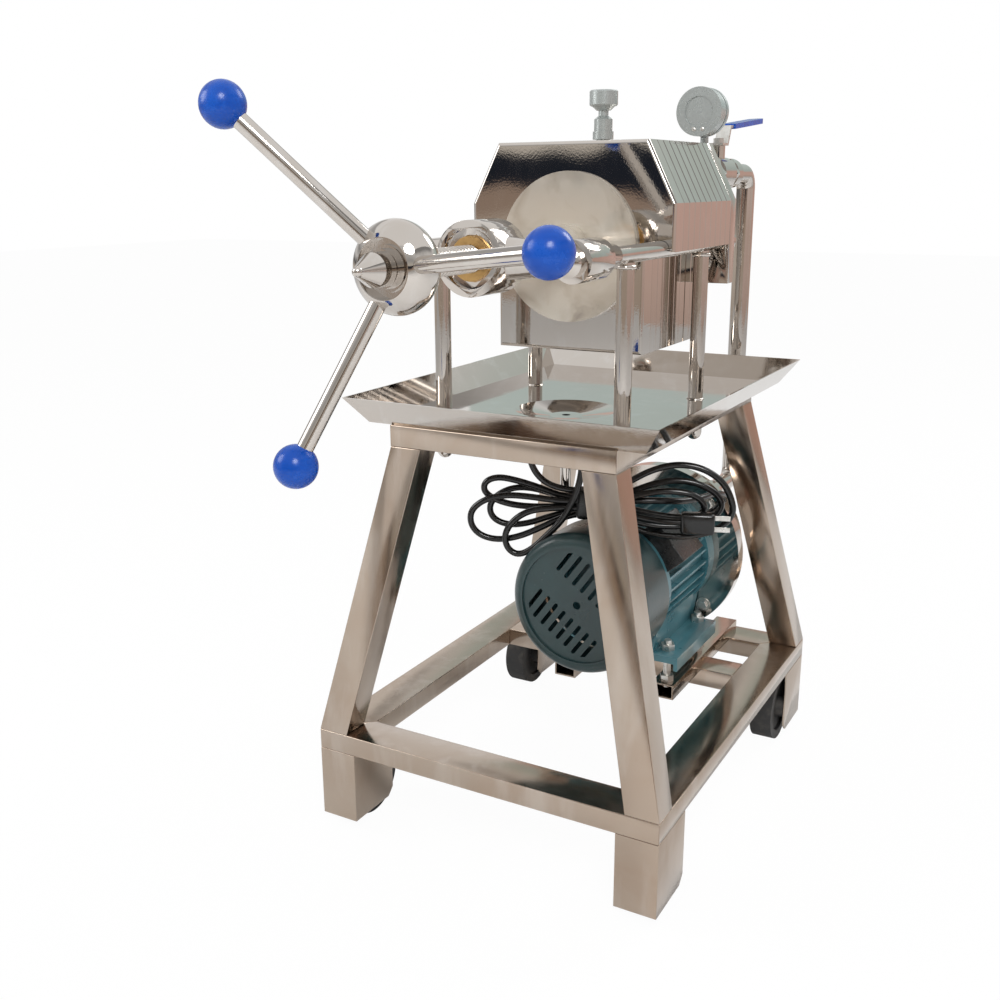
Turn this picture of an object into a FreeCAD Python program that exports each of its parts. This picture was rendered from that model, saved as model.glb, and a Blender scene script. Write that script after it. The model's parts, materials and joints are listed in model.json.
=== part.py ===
import FreeCAD, Part
import math
import os

# Plate filter press on a wheeled stand. X runs to the right of someone at the
# handwheel, Y from the handwheel to the feed pipe, Z up from the floor.
# The origin is on the floor, in the middle of the machine. Millimetres.

SIZES = {
    # stand
    "stand_front_y": (-205, "front face of the front feet"),
    "stand_width": (445, "over the feet"),
    "stand_depth": (570, "over the feet"),
    "rail_width": (50, "flat rectangular tube"),
    "rail_height": (25, "flat rectangular tube"),
    "tube_wall": (2, "wall of rails and legs"),
    "rail_bottom": (104, "floor to the underside of the lower rails"),
    "leg_width": (40, "leg tube along X"),
    "leg_depth": (38, "leg tube along Y"),
    "leg_lean_x": (81.5, "how far a leg leans inwards along X"),
    "leg_lean_y": (54, "how far a leg leans inwards along Y"),
    "frame_top": (509, "floor to the top of the upper frame"),
    "member_y": (190, "front face of the motor cross member"),
    "member_width": (45, "motor cross member along Y"),
    # feet and wheels
    "foot_gap": (14, "floor to the foot plates"),
    "foot_depth": (80, "wheel housing along Y"),
    "foot_plate": (2.5, "sheet of the wheel housings"),
    "foot_cut": (10, "cut corner of a housing's side plates"),
    "wheel_dia": (94, "rubber wheel"),
    "wheel_width": (30, "tread"),
    "wheel_recess": (4, "depth of the hollow in a wheel's sides"),
    "axle_dia": (12, "wheel axle"),
    "wheel_rim": (12, "tyre outside the hollow"),
    "wheel_hub_dia": (28, "hub of a wheel"),
    "wheel_hub": (44, "hub of a wheel along the axle"),
    "front_axle_back": (55, "front feet's face to the axle"),
    "rear_axle_back": (68, "rear feet's face to the axle"),
    "running_gap": (0.08, "radial clearance of turning and sliding fits"),
    # drip tray
    "tray_half_width": (172, "flat bottom of the tray"),
    "tray_front_y": (-148, "front edge of the tray's flat bottom"),
    "tray_length": (478, "flat bottom along Y"),
    "tray_flare": (22, "how far the rim stands out past the bottom"),
    "tray_height": (30.5, "rim over the bottom"),
    "tray_sheet": (1.5, "tray sheet"),
    "tray_wall": (1.9, "tray's sloping sides, measured level"),
    "dish_flat": (20, "radius of the flat round the drain"),
    "dish_radius": (62, "hollow round the drain"),
    "dish_depth": (7, "hollow round the drain"),
    "drain_y": (20, "drain's centre line"),
    "drain_dia": (13, "drain spout outside"),
    "drain_wall": (1.5, "drain spout wall"),
    "drain_length": (88, "spout below the dish"),
    # posts and tie rods
    "rod_spread": (228, "between the tie rods' centre lines"),
    "rod_height": (702, "floor to the tie rods' and screw's centre line"),
    "rod_dia": (19, "tie rod"),
    "rod_front_y": (-207, "front face of the yoke, where the nuts seat"),
    "rod_nut_dia": (30, "domed nut"),
    "rod_nut_length": (10, "domed nut without its dome"),
    "rod_nut_dome": (6, "dome of the nut"),
    "post_dia": (19, "support post"),
    "post_front_y": (-76, "front posts"),
    "post_pitch": (234, "front posts to rear posts"),
    "post_drop": (26, "post below the upper frame"),
    "post_cope": (1.6, "how far a post's saddle climbs the rod"),
    "post_gap": (0.2, "round a post where it passes the tray and rail"),
    # yoke and nut
    "yoke_length": (56, "yoke along Y"),
    "yoke_barrel_dia": (76, "nut housing"),
    "yoke_recess_dia": (60, "hollow in the housing's front"),
    "yoke_recess": (6, "hollow in the housing's front"),
    "yoke_arm_root": (46, "arm at the housing"),
    "yoke_arm_tip": (27, "arm at the rod eye"),
    "yoke_eye_dia": (42, "eye round a tie rod"),
    "yoke_nose_dia": (26, "turned nose behind an eye"),
    "yoke_nose": (36, "turned nose behind an eye"),
    "nut_dia": (45, "bronze nut outside"),
    "nut_proud": (3, "bronze nut past the hollow's floor"),
    # press plates
    "head_y": (23, "front face of the press head"),
    "head_thick": (24.6, "press head"),
    "plate_count": (9, "filter plates"),
    "plate_pitch": (18.6, "one filter plate and its seat"),
    "plate_gap": (0.3, "between plates"),
    "end_thick": (20, "fixed end plate"),
    "plate_rise": (118.7, "rods' centre line to the plates' top edge"),
    "plate_top_half": (95, "half of the plates' top edge"),
    "shoulder_rise": (50, "rods' centre line to the foot of the corner cuts"),
    "plate_half": (130, "half width over the ears"),
    "plate_body_half": (94, "half width below the ears"),
    "plate_fall": (120.5, "rods' centre line to the plates' bottom edge"),
    "plate_edge": (1.3, "edge break of a filter plate's faces"),
    "head_edge": (4, "rounded edge of the press head's front face"),
    "ear_drop": (3, "ears below the tie rods' centre line"),
    "end_ear_drop": (52, "end plate's ears below the centre line"),
    "rod_play": (0.4, "round a tie rod in a plate's ear"),
    "chamber_dia": (150, "round filter chamber in the plates' faces"),
    "chamber_depth": (3, "round filter chamber"),
    "eye_x": (92, "feed eye from the middle"),
    "eye_rise": (83, "rods' centre line to the feed eye"),
    "eye_dia": (16, "feed eye"),
    "disc_dia": (172, "pressure disc on the press head"),
    "disc_thick": (6, "pressure disc"),
    "boss_dia": (54, "thrust boss on the disc"),
    "boss_length": (20, "thrust boss"),
    "socket_depth": (15, "screw's seat in the boss"),
    "socket_floor_gap": (0.3, "screw's end to the seat's floor"),
    # screw and handwheel
    "screw_dia": (28, "press screw"),
    "shank_dia": (20, "screw where it passes the hub"),
    "hub_y": (-334, "middle of the handwheel's hub"),
    "hub_dia": (87, "hub"),
    "hub_thick": (46, "hub"),
    "hub_bulge": (30, "half the hub's thickness if its flats were not cut"),
    "hub_recess_dia": (54, "hollow in the hub's front"),
    "hub_recess": (15, "hub's middle to the hollow's floor"),
    "hub_collar_dia": (40, "collar behind the hub"),
    "hub_collar": (10, "collar behind the hub"),
    "spoke_dia": (16, "spoke"),
    "spoke_radius": (191, "screw's axis to a ball's centre"),
    "spoke_dish": (71, "how far the balls stand forward of the hub"),
    "right_spoke_angle": (6.3, "degrees above the X axis"),
    "upper_spoke_angle": (132.6, "degrees"),
    "lower_spoke_angle": (248.5, "degrees"),
    "ball_dia": (42, "ball knob"),
    "spoke_grip": (15, "spoke inside the ball"),
    "washer_dia": (43, "washer under the end nut"),
    "washer_thick": (4, "washer under the end nut"),
    "end_nut_dia": (36, "end nut's seat"),
    "end_nut_seat": (7, "end nut's seat"),
    "end_nut_body_dia": (31, "end nut's body"),
    "end_nut_body": (12, "end nut's body"),
    "end_nut_cone": (21, "end nut's nose"),
    "end_nut_tip_dia": (10, "round tip of the nose"),
    # vent valve on a filter plate
    "vent_plate": (4, "which filter plate carries it"),
    "vent_body_dia": (22, "vent valve body"),
    "vent_body": (31, "vent valve body"),
    "vent_stem_dia": (16, "foot of the vent valve"),
    "vent_stem": (4, "foot of the vent valve"),
    "vent_grip": (12, "spindle inside the knob"),
    "vent_foot_dia": (25, "foot ring of the vent valve"),
    "vent_foot": (9, "foot ring of the vent valve"),
    "vent_shoulder": (4, "taper above the valve body"),
    "vent_neck_dia": (12, "vent spindle"),
    "vent_skirt": (5, "taper under the knob"),
    "vent_skirt_dia": (17, "narrow end of the taper under the knob"),
    "vent_neck": (11, "vent spindle"),
    "vent_knob_dia": (34, "vent knob"),
    "vent_knob": (18, "vent knob"),
    "vent_knob_edge": (1.5, "edge break of the knob"),
    # pressure gauge on the end plate
    "gauge_x": (88, "gauge stem from the middle"),
    "gauge_dia": (58, "gauge case"),
    "gauge_depth": (28, "gauge case"),
    "gauge_rise": (37, "plates' top edge to the gauge's centre"),
    "gauge_setback": (15, "end plate's front face to the gauge's blank side"),
    "gauge_stem_dia": (10, "gauge stem"),
    "gauge_boss_dia": (36, "hollow in the blank side"),
    "gauge_boss": (1.5, "hollow in the blank side"),
    "gauge_bezel": (5, "bezel round the dial"),
    "gauge_groove": (1.6, "groove round the case"),
    "gauge_groove_y": (17, "blank side to the groove"),
    "gauge_groove_width": (4, "groove round the case"),
    "gauge_sink": (3, "dial below the bezel"),
    "dial_thick": (1, "dial disc"),
    # feed pipe, valve and union
    "pipe_dia": (25.4, "feed pipe"),
    "pipe_wall": (1.5, "feed pipe"),
    "pipe_bend": (20, "bend on the centre line"),
    "pipe_y": (392, "upright stretch of the feed pipe"),
    "pipe_foot_height": (350, "floor to the lower bend's end"),
    "valve_dia": (40, "valve barrel"),
    "valve_half": (22, "valve stem to the end of its barrel"),
    "valve_hex": (36, "over the flats of the hexagon ends"),
    "valve_hex_length": (10, "hexagon ends"),
    "stem_dia": (10, "valve stem"),
    "bonnet_dia": (18, "stem housing"),
    "bonnet_top": (34, "valve's centre to the top of the stem housing"),
    "union_dia": (38, "union nut"),
    "union_length": (20, "union nut"),
    "lever_width": (18, "lever strip"),
    "lever_thick": (3, "lever strip"),
    "lever_hub": (14, "stem to the lever's bend"),
    "lever_neck": (10, "bend along Y"),
    "lever_rise": (22, "bend upwards"),
    "lever_length": (160, "stem to the lever's tip"),
    "lever_slope": (13, "rise of the grip over its length"),
    "grip_start": (34, "stem to the grip"),
    "grip_skin": (1.8, "sleeve round the strip"),
    "stem_nut_dia": (12, "nut over the lever"),
    "stem_nut": (6, "nut over the lever"),
    # motor and pump
    "motor_x": (44, "motor's centre line from the middle"),
    "motor_front_y": (-39, "fan cover's face"),
    "shaft_height": (100, "motor's feet to its centre line"),
    "motor_lift": (34, "rails to the motor's feet"),
    "fan_cover_dia": (178, "fan cover"),
    "fan_cover_length": (80, "fan cover"),
    "fan_cover_sheet": (2, "fan cover"),
    "fan_cover_round": (14, "rounded shoulder of the fan cover"),
    "fan_face_dia": (146, "sunk face of the fan cover"),
    "fan_face_sink": (3, "face below the rim"),
    "slot_count": (8, "slots in each field of the face"),
    "slot_pitch": (13, "slots of the face"),
    "slot_width": (5, "slots of the face"),
    "slot_length": (32, "slots of the face, between their round ends"),
    "slot_field": (36, "motor's centre line to the middle of a field"),
    "slot_slant": (36, "degrees from upright"),
    "slot_round_dia": (132, "circle that the slots stay inside"),
    "fan_hole_dia": (10, "hole in the middle of the face"),
    "bell_length": (20, "smooth bell behind the fan cover"),
    "bell_dia": (168, "smooth bell"),
    "frame_dia": (148, "motor frame without fins"),
    "frame_length": (139, "finned motor frame"),
    "fin_count": (32, "fins round the frame"),
    "fin_height": (8, "fins"),
    "fin_thick": (3, "fins"),
    "flange_length": (22, "motor's front flange"),
    "foot_spread": (140, "bolts across the motor"),
    "foot_pitch": (112, "bolts along the motor"),
    "foot_bolt_y": (94, "front bolts of the feet"),
    "foot_thick": (9, "motor foot"),
    "foot_width": (44, "motor foot"),
    "foot_front": (24, "front bolt to the foot's end"),
    "foot_rear": (13, "rear bolt to the foot's end"),
    "foot_web": (12, "web from foot to frame"),
    "foot_lip": (5, "lip turned down along the foot's outer edge"),
    "foot_lip_drop": (9, "lip below the foot"),
    "motor_rail_y": (79, "front end of the motor rails"),
    "motor_rail_width": (30, "rail under the motor's feet"),
    "motor_rail_height": (20, "rail under the motor's feet"),
    "stud_dia": (10, "motor bolt"),
    "stud_gap": (0.25, "round a motor bolt"),
    "stud_nut": (16, "over the flats"),
    "stud_nut_height": (8, "nut"),
    "stud_end": (5, "bolt past its top nut"),
    "stud_tail": (7, "bolt below the rail's top wall"),
    "pump_disc_dia": (236, "pump's face plate"),
    "pump_disc": (20, "pump's face plate"),
    "pump_casing_dia": (204, "pump casing"),
    "pump_casing": (46, "pump casing"),
    "pump_cover_dia": (130, "raised cover at the pump's back"),
    "pump_cover": (10, "raised cover"),
    "suction_dia": (34, "suction port"),
    "suction_wall": (2, "suction port"),
    "suction_length": (40, "suction port"),
    "ferrule_dia": (50.5, "clamp ferrule on the suction port"),
    "ferrule_thick": (3, "clamp ferrule"),
    "outlet_collar_dia": (34, "collar where the feed pipe leaves the pump"),
    "outlet_collar": (16, "collar where the feed pipe leaves the pump"),
    # terminal box and power cord
    "box_angle": (40, "terminal box above the motor's side, degrees"),
    "box_sink": (8, "terminal box set into the frame"),
    "box_height": (40, "terminal box"),
    "box_width": (60, "terminal box"),
    "box_length": (70, "terminal box"),
    "box_y": (57, "terminal box's front face"),
    "gland_dia": (18, "cable gland"),
    "gland_length": (18, "cable gland"),
    "gland_out": (22.7, "box's seat to the gland's centre"),
    "cord_dia": (8, "power cord"),
    "hank_thick": (28, "hank of cord"),
    "hank_y": (2, "hank's mid plane where it crosses the middle"),
    "hank_turn": (19.8, "degrees, hank's length from the X axis"),
    "seat_gap": (0.3, "hank and plug to what they lie on"),
    "plug_x": (148, "plug's foot along the hank"),
    "plug_rise": (102, "motor's centre line to the plug's middle"),
    "plug_length": (40, "plug body"),
    "plug_width": (26, "plug body"),
    "plug_height": (17, "plug body"),
    "pin_length": (18, "plug pins"),
    "pin_width": (6, "plug pins"),
    "pin_thick": (1.6, "plug pins"),
    "pin_spread": (14, "between the plug pins"),
}

# Points of the cord's free stretch, from the gland to the hank, chosen by hand.
CORD_POINTS = [
    (112, 145, 340),
    (112, 164, 340),
    (117, 182, 344),
    (130, 193, 354),
    (145, 192, 368),
    (154, 179, 381),
    (156, 158, 391),
    (151, 134, 396),
    (147, 104, 397),
    (157.1, 73.5, 397),
]

# Outline of the hanging hank, along its length and above the motor's centre line:
# a narrow waist between two fanned lobes of loops.
HANK_OUTLINE = [
    (-116, 102),
    (-112, 78),
    (-90, 59),
    (-66, 46),
    (-45, 40.5),
    (-36, 53),
    (-24, 67),
    (-8, 80),
    (10, 89.3),
    (88, 89.3),
    (118, 87),
    (132, 77),
    (185, 81),
    (210, 95),
    (216, 113),
    (206, 133),
    (190, 159),
    (160, 172),
    (125, 170),
    (88, 150),
    (60, 131),
    (12, 127),
    (-12, 127),
    (-30, 140),
    (-70, 148),
    (-98, 141),
]

doc = FreeCAD.newDocument("plate_filter_press")
sheet = doc.addObject("Spreadsheet::Sheet", "Sizes")
for row, (alias, (number, note)) in enumerate(SIZES.items(), start=1):
    sheet.set(f"A{row}", note)
    sheet.set(f"B{row}", str(number))
    sheet.setAlias(f"B{row}", alias)
doc.recompute()

exported = []


def size(alias):
    """A driving dimension's number."""
    return float(sheet.get(alias))


def bound(text):
    """An expression on the sheet, from words that are its aliases."""
    words = str(text).replace("(", "( ").replace(")", " )").split()
    return " ".join(f"Sizes.{w}" if w in SIZES else w for w in words)


def bind(thing, **values):
    for prop, text in values.items():
        thing.setExpression(prop.replace("__", "."), bound(text))


def place(thing, x="0", y="0", z="0"):
    bind(thing, Placement__Base__x=x, Placement__Base__y=y, Placement__Base__z=z)


ALONG = {
    "z": FreeCAD.Rotation(),
    "x": FreeCAD.Rotation(FreeCAD.Vector(0, 1, 0), 90),
    "y": FreeCAD.Rotation(FreeCAD.Vector(1, 0, 0), -90),
}


def block(name, x, y, z, dx, dy, dz):
    thing = doc.addObject("Part::Box", name)
    bind(thing, Length=dx, Width=dy, Height=dz)
    place(thing, x, y, z)
    return thing


def rod(name, dia, length, x, y, z, along="y"):
    thing = doc.addObject("Part::Cylinder", name)
    bind(thing, Radius=f"( {dia} ) / 2", Height=length)
    thing.Placement = FreeCAD.Placement(FreeCAD.Vector(), ALONG[along])
    place(thing, x, y, z)
    return thing


def cone(name, dia_start, dia_end, length, x, y, z, along="y"):
    thing = doc.addObject("Part::Cone", name)
    bind(thing, Radius1=f"( {dia_start} ) / 2", Radius2=f"( {dia_end} ) / 2", Height=length)
    thing.Placement = FreeCAD.Placement(FreeCAD.Vector(), ALONG[along])
    place(thing, x, y, z)
    return thing


def ball(name, dia, x, y, z):
    thing = doc.addObject("Part::Sphere", name)
    bind(thing, Radius=f"( {dia} ) / 2")
    place(thing, x, y, z)
    return thing


def hexagon(name, flats, length, x, y, z, along="y"):
    thing = doc.addObject("Part::Prism", name)
    thing.Polygon = 6
    bind(thing, Circumradius=f"( {flats} ) / 2 / cos( 30 deg )", Height=length)
    thing.Placement = FreeCAD.Placement(FreeCAD.Vector(), ALONG[along])
    place(thing, x, y, z)
    return thing


def leaning_block(name, low, high):
    """A block whose ends are level rectangles: (x0, x1, y0, y1, z) at its foot and top."""
    thing = doc.addObject("Part::Wedge", name)
    # the wedge's own x, y and z run along Y, Z and X
    thing.Placement = FreeCAD.Placement(
        FreeCAD.Vector(), FreeCAD.Rotation(FreeCAD.Vector(1, 1, 1), 120)
    )
    bind(thing, Zmin=low[0], Zmax=low[1], Xmin=low[2], Xmax=low[3], Ymin=low[4])
    bind(thing, Z2min=high[0], Z2max=high[1], X2min=high[2], X2max=high[3], Ymax=high[4])
    return thing


def cut(name, base, tool):
    thing = doc.addObject("Part::Cut", name)
    thing.Base = base
    thing.Tool = tool
    return thing


def fuse(name, things):
    thing = doc.addObject("Part::MultiFuse", name)
    thing.Shapes = things
    thing.Refine = True
    return thing


def group(name, things):
    """Like pieces that don't touch, in one node."""
    thing = doc.addObject("Part::Compound", name)
    thing.Links = things
    return thing


def part(thing, label):
    """Marks a finished piece and gives it the name of its file."""
    thing.Label = label
    exported.append(thing)
    return thing


def outline(sketch, points):
    """A closed outline through points whose coordinates are expressions."""
    def number(text):
        words = [str(size(w)) if w in SIZES else w for w in
                 str(text).replace("(", "( ").replace(")", " )").split()]
        return float(FreeCAD.Units.Quantity(" ".join(words)).Value)

    corners = [FreeCAD.Vector(number(a), number(b), 0) for a, b in points]
    for here, there in zip(corners, corners[1:] + corners[:1]):
        sketch.addGeometry(Part.LineSegment(here, there), False)
    count = len(corners)
    import Sketcher
    for i in range(count):
        sketch.addConstraint(Sketcher.Constraint("Coincident", i, 2, (i + 1) % count, 1))
    for i, (a, b) in enumerate(points):
        for kind, text in (("DistanceX", a), ("DistanceY", b)):
            n = sketch.addConstraint(
                Sketcher.Constraint(kind, -1, 1, i, 1, number(text))
            )
            sketch.setExpression(f"Constraints[{n}]", bound(text))


def on_plane(name, plane, points):
    """A body with a closed outline on one of its origin planes."""
    body = doc.addObject("PartDesign::Body", name)
    sketch = body.newObject("Sketcher::SketchObject", f"{name}_outline")
    sketch.AttachmentSupport = [
        (next(f for f in body.Origin.OriginFeatures if f.Role == plane), "")
    ]
    sketch.MapMode = "FlatFace"
    outline(sketch, points)
    return body, sketch


def pad(name, plane, points, length):
    """A padded outline: upwards from XY, towards +Y from XZ, towards +X from YZ."""
    body, sketch = on_plane(name, plane, points)
    feature = body.newObject("PartDesign::Pad", f"{name}_pad")
    feature.Profile = sketch
    feature.Reversed = plane == "XZ_Plane"
    bind(feature, Length=length)
    return body


def mirrored(name, thing, normal=(1, 0, 0), x="0", y="0"):
    other = doc.addObject("Part::Mirroring", name)
    other.Source = thing
    other.Normal = FreeCAD.Vector(*normal)
    bind(other, Base__x=x, Base__y=y)
    return other


def placed(name, things, x="0", y="0", z="0", turn=None, about=(0, 1, 0)):
    """Pieces moved together, turned about one axis by a size in degrees."""
    thing = group(name, things)
    if turn is not None:
        axis = FreeCAD.Vector(*about)
        thing.Placement = FreeCAD.Placement(FreeCAD.Vector(), FreeCAD.Rotation(axis, 1))
        bind(thing, Placement__Rotation__Angle=turn)
    place(thing, x, y, z)
    return thing


# Places that follow from the sizes.
RAIL_TOP = "( rail_bottom + rail_height )"
HALF = "( stand_width / 2 )"
BACK = "( stand_front_y + stand_depth )"
MIDDLE = "( stand_front_y + stand_depth / 2 )"
TOP_HALF = "( stand_width / 2 - leg_lean_x )"
TOP_FRONT = "( stand_front_y + leg_lean_y )"
TOP_BACK = "( stand_front_y + stand_depth - leg_lean_y )"
TOP_BOTTOM = "( frame_top - rail_height )"
ROD_X = "( rod_spread / 2 )"
PLATE_TOP = "( rod_height + plate_rise )"
PLATE_SHOULDER = "( rod_height + shoulder_rise )"
PLATE_BOTTOM = "( rod_height - plate_fall )"
EYE_Z = "( rod_height + eye_rise )"
PLATE_THICK = "( plate_pitch - plate_gap )"
FIRST_PLATE = "( head_y + head_thick + plate_gap )"
END_FRONT = "( head_y + head_thick + plate_gap + plate_count * plate_pitch )"
END_BACK = f"( {END_FRONT} + end_thick )"
BOSS_FRONT = "( head_y - disc_thick - boss_length )"
COLLAR_BACK = "( hub_y + hub_thick / 2 + hub_collar )"
HOLLOW_FLOOR = "( hub_y - hub_recess )"
VALVE_Y = f"( {END_BACK} + valve_hex_length + valve_half )"
VALVE_BACK = f"( {VALVE_Y} + valve_half + valve_hex_length )"
LEVER_Z = f"( {EYE_Z} + bonnet_top + seat_gap )"
MOTOR_RAIL_TOP = f"( {RAIL_TOP} + motor_rail_height )"
FOOT_Z = f"( {MOTOR_RAIL_TOP} + motor_lift )"
SHAFT_Z = f"( {FOOT_Z} + shaft_height )"
BELL_Y = "( motor_front_y + fan_cover_length )"
FRAME_Y = f"( {BELL_Y} + bell_length )"
PUMP_Y = f"( {FRAME_Y} + frame_length + flange_length )"
CASING_Y = f"( {PUMP_Y} + pump_disc )"
PUMP_BACK = f"( {CASING_Y} + pump_casing )"
PORT_Y = f"( {PUMP_BACK} + pump_cover )"
BOX_SEAT = "( frame_dia / 2 - box_sink )"
GLAND_R = f"( {BOX_SEAT} + gland_out )"

# stand


def frame_rails(name, half, front, back, bottom):
    """Side and cross rails of a mitred frame of flat tube."""
    side = pad(
        f"{name}_side",
        "XY_Plane",
        [
            (half, front),
            (half, back),
            (f"{half} - rail_width", f"{back} - rail_width"),
            (f"{half} - rail_width", f"{front} + rail_width"),
        ],
        "rail_height",
    )
    place(side, z=bottom)
    side_hollow = block(
        f"{name}_side_hollow",
        f"{half} - rail_width + tube_wall",
        front,
        f"{bottom} + tube_wall",
        "rail_width - 2 * tube_wall",
        f"{back} - {front}",
        "rail_height - 2 * tube_wall",
    )
    cross = pad(
        f"{name}_cross",
        "XY_Plane",
        [
            (f"0 - {half}", front),
            (half, front),
            (f"{half} - rail_width", f"{front} + rail_width"),
            (f"rail_width - {half}", f"{front} + rail_width"),
        ],
        "rail_height",
    )
    place(cross, z=bottom)
    cross_hollow = block(
        f"{name}_cross_hollow",
        f"0 - {half}",
        f"{front} + tube_wall",
        f"{bottom} + tube_wall",
        f"2 * {half}",
        "rail_width - 2 * tube_wall",
        "rail_height - 2 * tube_wall",
    )
    right = cut(f"{name}_side_tube", side, side_hollow)
    fore = cut(f"{name}_cross_tube", cross, cross_hollow)
    left = mirrored(f"{name}_side_other", right)
    aft = mirrored(f"{name}_cross_other", fore, (0, 1, 0), y=MIDDLE)
    return [right, left], [fore, aft]


sides, crosses = frame_rails("lower", HALF, "stand_front_y", BACK, "rail_bottom")
member = cut(
    "member",
    block(
        "member_outside",
        f"rail_width - {HALF}",
        "member_y",
        "rail_bottom",
        f"2 * ( {HALF} - rail_width )",
        "member_width",
        "rail_height",
    ),
    block(
        "member_hollow",
        f"rail_width - {HALF}",
        "member_y + tube_wall",
        "rail_bottom + tube_wall",
        f"2 * ( {HALF} - rail_width )",
        "member_width - 2 * tube_wall",
        "rail_height - 2 * tube_wall",
    ),
)
part(group("side_rails", sides), "side_rails")
part(group("cross_rails", [*crosses, member]), "cross_rails")

post_hole = rod(
    "post_hole",
    "post_dia + 2 * post_gap",
    "rail_height + 2 * dish_depth",
    ROD_X,
    "post_front_y",
    f"{TOP_BOTTOM} - dish_depth",
    "z",
)
post_hole_rear = placed("post_hole_rear", [post_hole], y="post_pitch")
post_hole_left = mirrored("post_hole_left", post_hole)
post_hole_rear_left = mirrored("post_hole_rear_left", post_hole_rear)
post_holes = group(
    "post_holes", [post_hole, post_hole_rear, post_hole_left, post_hole_rear_left]
)

sides, crosses = frame_rails("upper", TOP_HALF, TOP_FRONT, TOP_BACK, TOP_BOTTOM)
part(
    cut("top_side_rails", group("top_side_tubes", sides), post_holes), "top_side_rails"
)
part(group("top_cross_rails", crosses), "top_cross_rails")


def leg(name, inset):
    """One leg's block, or its hollow, set in by a wall."""
    return leaning_block(
        name,
        (
            f"{HALF} - leg_width + {inset}",
            f"{HALF} - {inset}",
            f"stand_front_y + {inset}",
            f"stand_front_y + leg_depth - {inset}",
            RAIL_TOP,
        ),
        (
            f"{TOP_HALF} - leg_width + {inset}",
            f"{TOP_HALF} - {inset}",
            f"{TOP_FRONT} + {inset}",
            f"{TOP_FRONT} + leg_depth - {inset}",
            TOP_BOTTOM,
        ),
    )


leg_right = cut("leg_right", leg("leg_outside", "0"), leg("leg_hollow", "tube_wall"))
leg_left = mirrored("leg_left", leg_right)
leg_right_rear = mirrored("leg_right_rear", leg_right, (0, 1, 0), y=MIDDLE)
leg_left_rear = mirrored("leg_left_rear", leg_right_rear)
part(group("legs", [leg_right, leg_left, leg_right_rear, leg_left_rear]), "legs")


def housing(name, face, sign, axle_back):
    """The wheel housing under one corner, from its closed end inwards."""
    def back(distance):
        return f"{face} {sign} ( {distance} )"

    outside = pad(
        f"{name}_side",
        "YZ_Plane",
        [
            (back("0"), "foot_gap"),
            (back("foot_depth - foot_cut"), "foot_gap"),
            (back("foot_depth"), "foot_gap + foot_cut"),
            (back("foot_depth"), "rail_bottom"),
            (back("0"), "rail_bottom"),
        ],
        "foot_plate",
    )
    place(outside, x=f"{HALF} - foot_plate")
    inside = mirrored(f"{name}_inside", outside, x=f"{HALF} - rail_width / 2")
    end = block(
        f"{name}_end",
        f"{HALF} - rail_width",
        back("0") if sign == "+" else back("foot_plate"),
        "foot_gap",
        "rail_width",
        "foot_plate",
        "rail_bottom - foot_gap",
    )
    axle = rod(
        f"{name}_axle",
        "axle_dia",
        "rail_width",
        f"{HALF} - rail_width",
        back(axle_back),
        "wheel_dia / 2",
        "x",
    )
    return fuse(name, [outside, inside, end, axle])


housing_front = housing("housing_front", "stand_front_y", "+", "front_axle_back")
housing_rear = housing("housing_rear", BACK, "-", "rear_axle_back")
part(
    group(
        "wheel_housings",
        [
            housing_front,
            mirrored("housing_front_left", housing_front),
            housing_rear,
            mirrored("housing_rear_left", housing_rear),
        ],
    ),
    "wheel_housings",
)

tread = rod("tread", "wheel_dia", "wheel_width", "0 - wheel_width / 2", "0", "0", "x")
side_hollow = cut(
    "wheel_side_hollow",
    rod(
        "wheel_side_disc",
        "wheel_dia - 2 * wheel_rim",
        "wheel_recess",
        "wheel_width / 2 - wheel_recess",
        "0",
        "0",
        "x",
    ),
    rod(
        "wheel_side_boss",
        "wheel_hub_dia",
        "wheel_recess",
        "wheel_width / 2 - wheel_recess",
        "0",
        "0",
        "x",
    ),
)
tyre = cut(
    "tyre",
    tread,
    group("wheel_hollows", [side_hollow, mirrored("wheel_other_hollow", side_hollow)]),
)
hub = rod("wheel_hub", "wheel_hub_dia", "wheel_hub", "0 - wheel_hub / 2", "0", "0", "x")
wheel = cut(
    "wheel",
    fuse("wheel_outside", [tyre, hub]),
    rod(
        "wheel_bore",
        "axle_dia + 2 * running_gap",
        "wheel_hub",
        "0 - wheel_hub / 2",
        "0",
        "0",
        "x",
    ),
)
FRONT_AXLE = "( stand_front_y + front_axle_back )"
REAR_AXLE = f"( {BACK} - rear_axle_back )"
for end, y in (("front", FRONT_AXLE), ("rear", REAR_AXLE)):
    for side, x in (("right", f"{HALF} - rail_width / 2"), ("left", f"rail_width / 2 - {HALF}")):
        node = f"wheel_{end}_{side}"
        part(placed(node, [wheel], x, y, "wheel_dia / 2"), node)

# drip tray


def tray_block(name, inset, bottom):
    low = f"( tray_flare * ( {bottom} ) / tray_height - {inset} )"
    high = f"( tray_flare - {inset} )"
    return leaning_block(
        name,
        (
            f"0 - tray_half_width - {low}",
            f"tray_half_width + {low}",
            f"tray_front_y - {low}",
            f"tray_front_y + tray_length + {low}",
            f"frame_top + {bottom}",
        ),
        (
            f"0 - tray_half_width - {high}",
            f"tray_half_width + {high}",
            f"tray_front_y - {high}",
            f"tray_front_y + tray_length + {high}",
            "frame_top + tray_height",
        ),
    )


def dish(name, rise):
    return cone(
        name,
        "2 * dish_flat",
        "2 * dish_radius",
        "dish_depth",
        "0",
        "drain_y",
        f"frame_top - dish_depth + {rise}",
        "z",
    )


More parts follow.
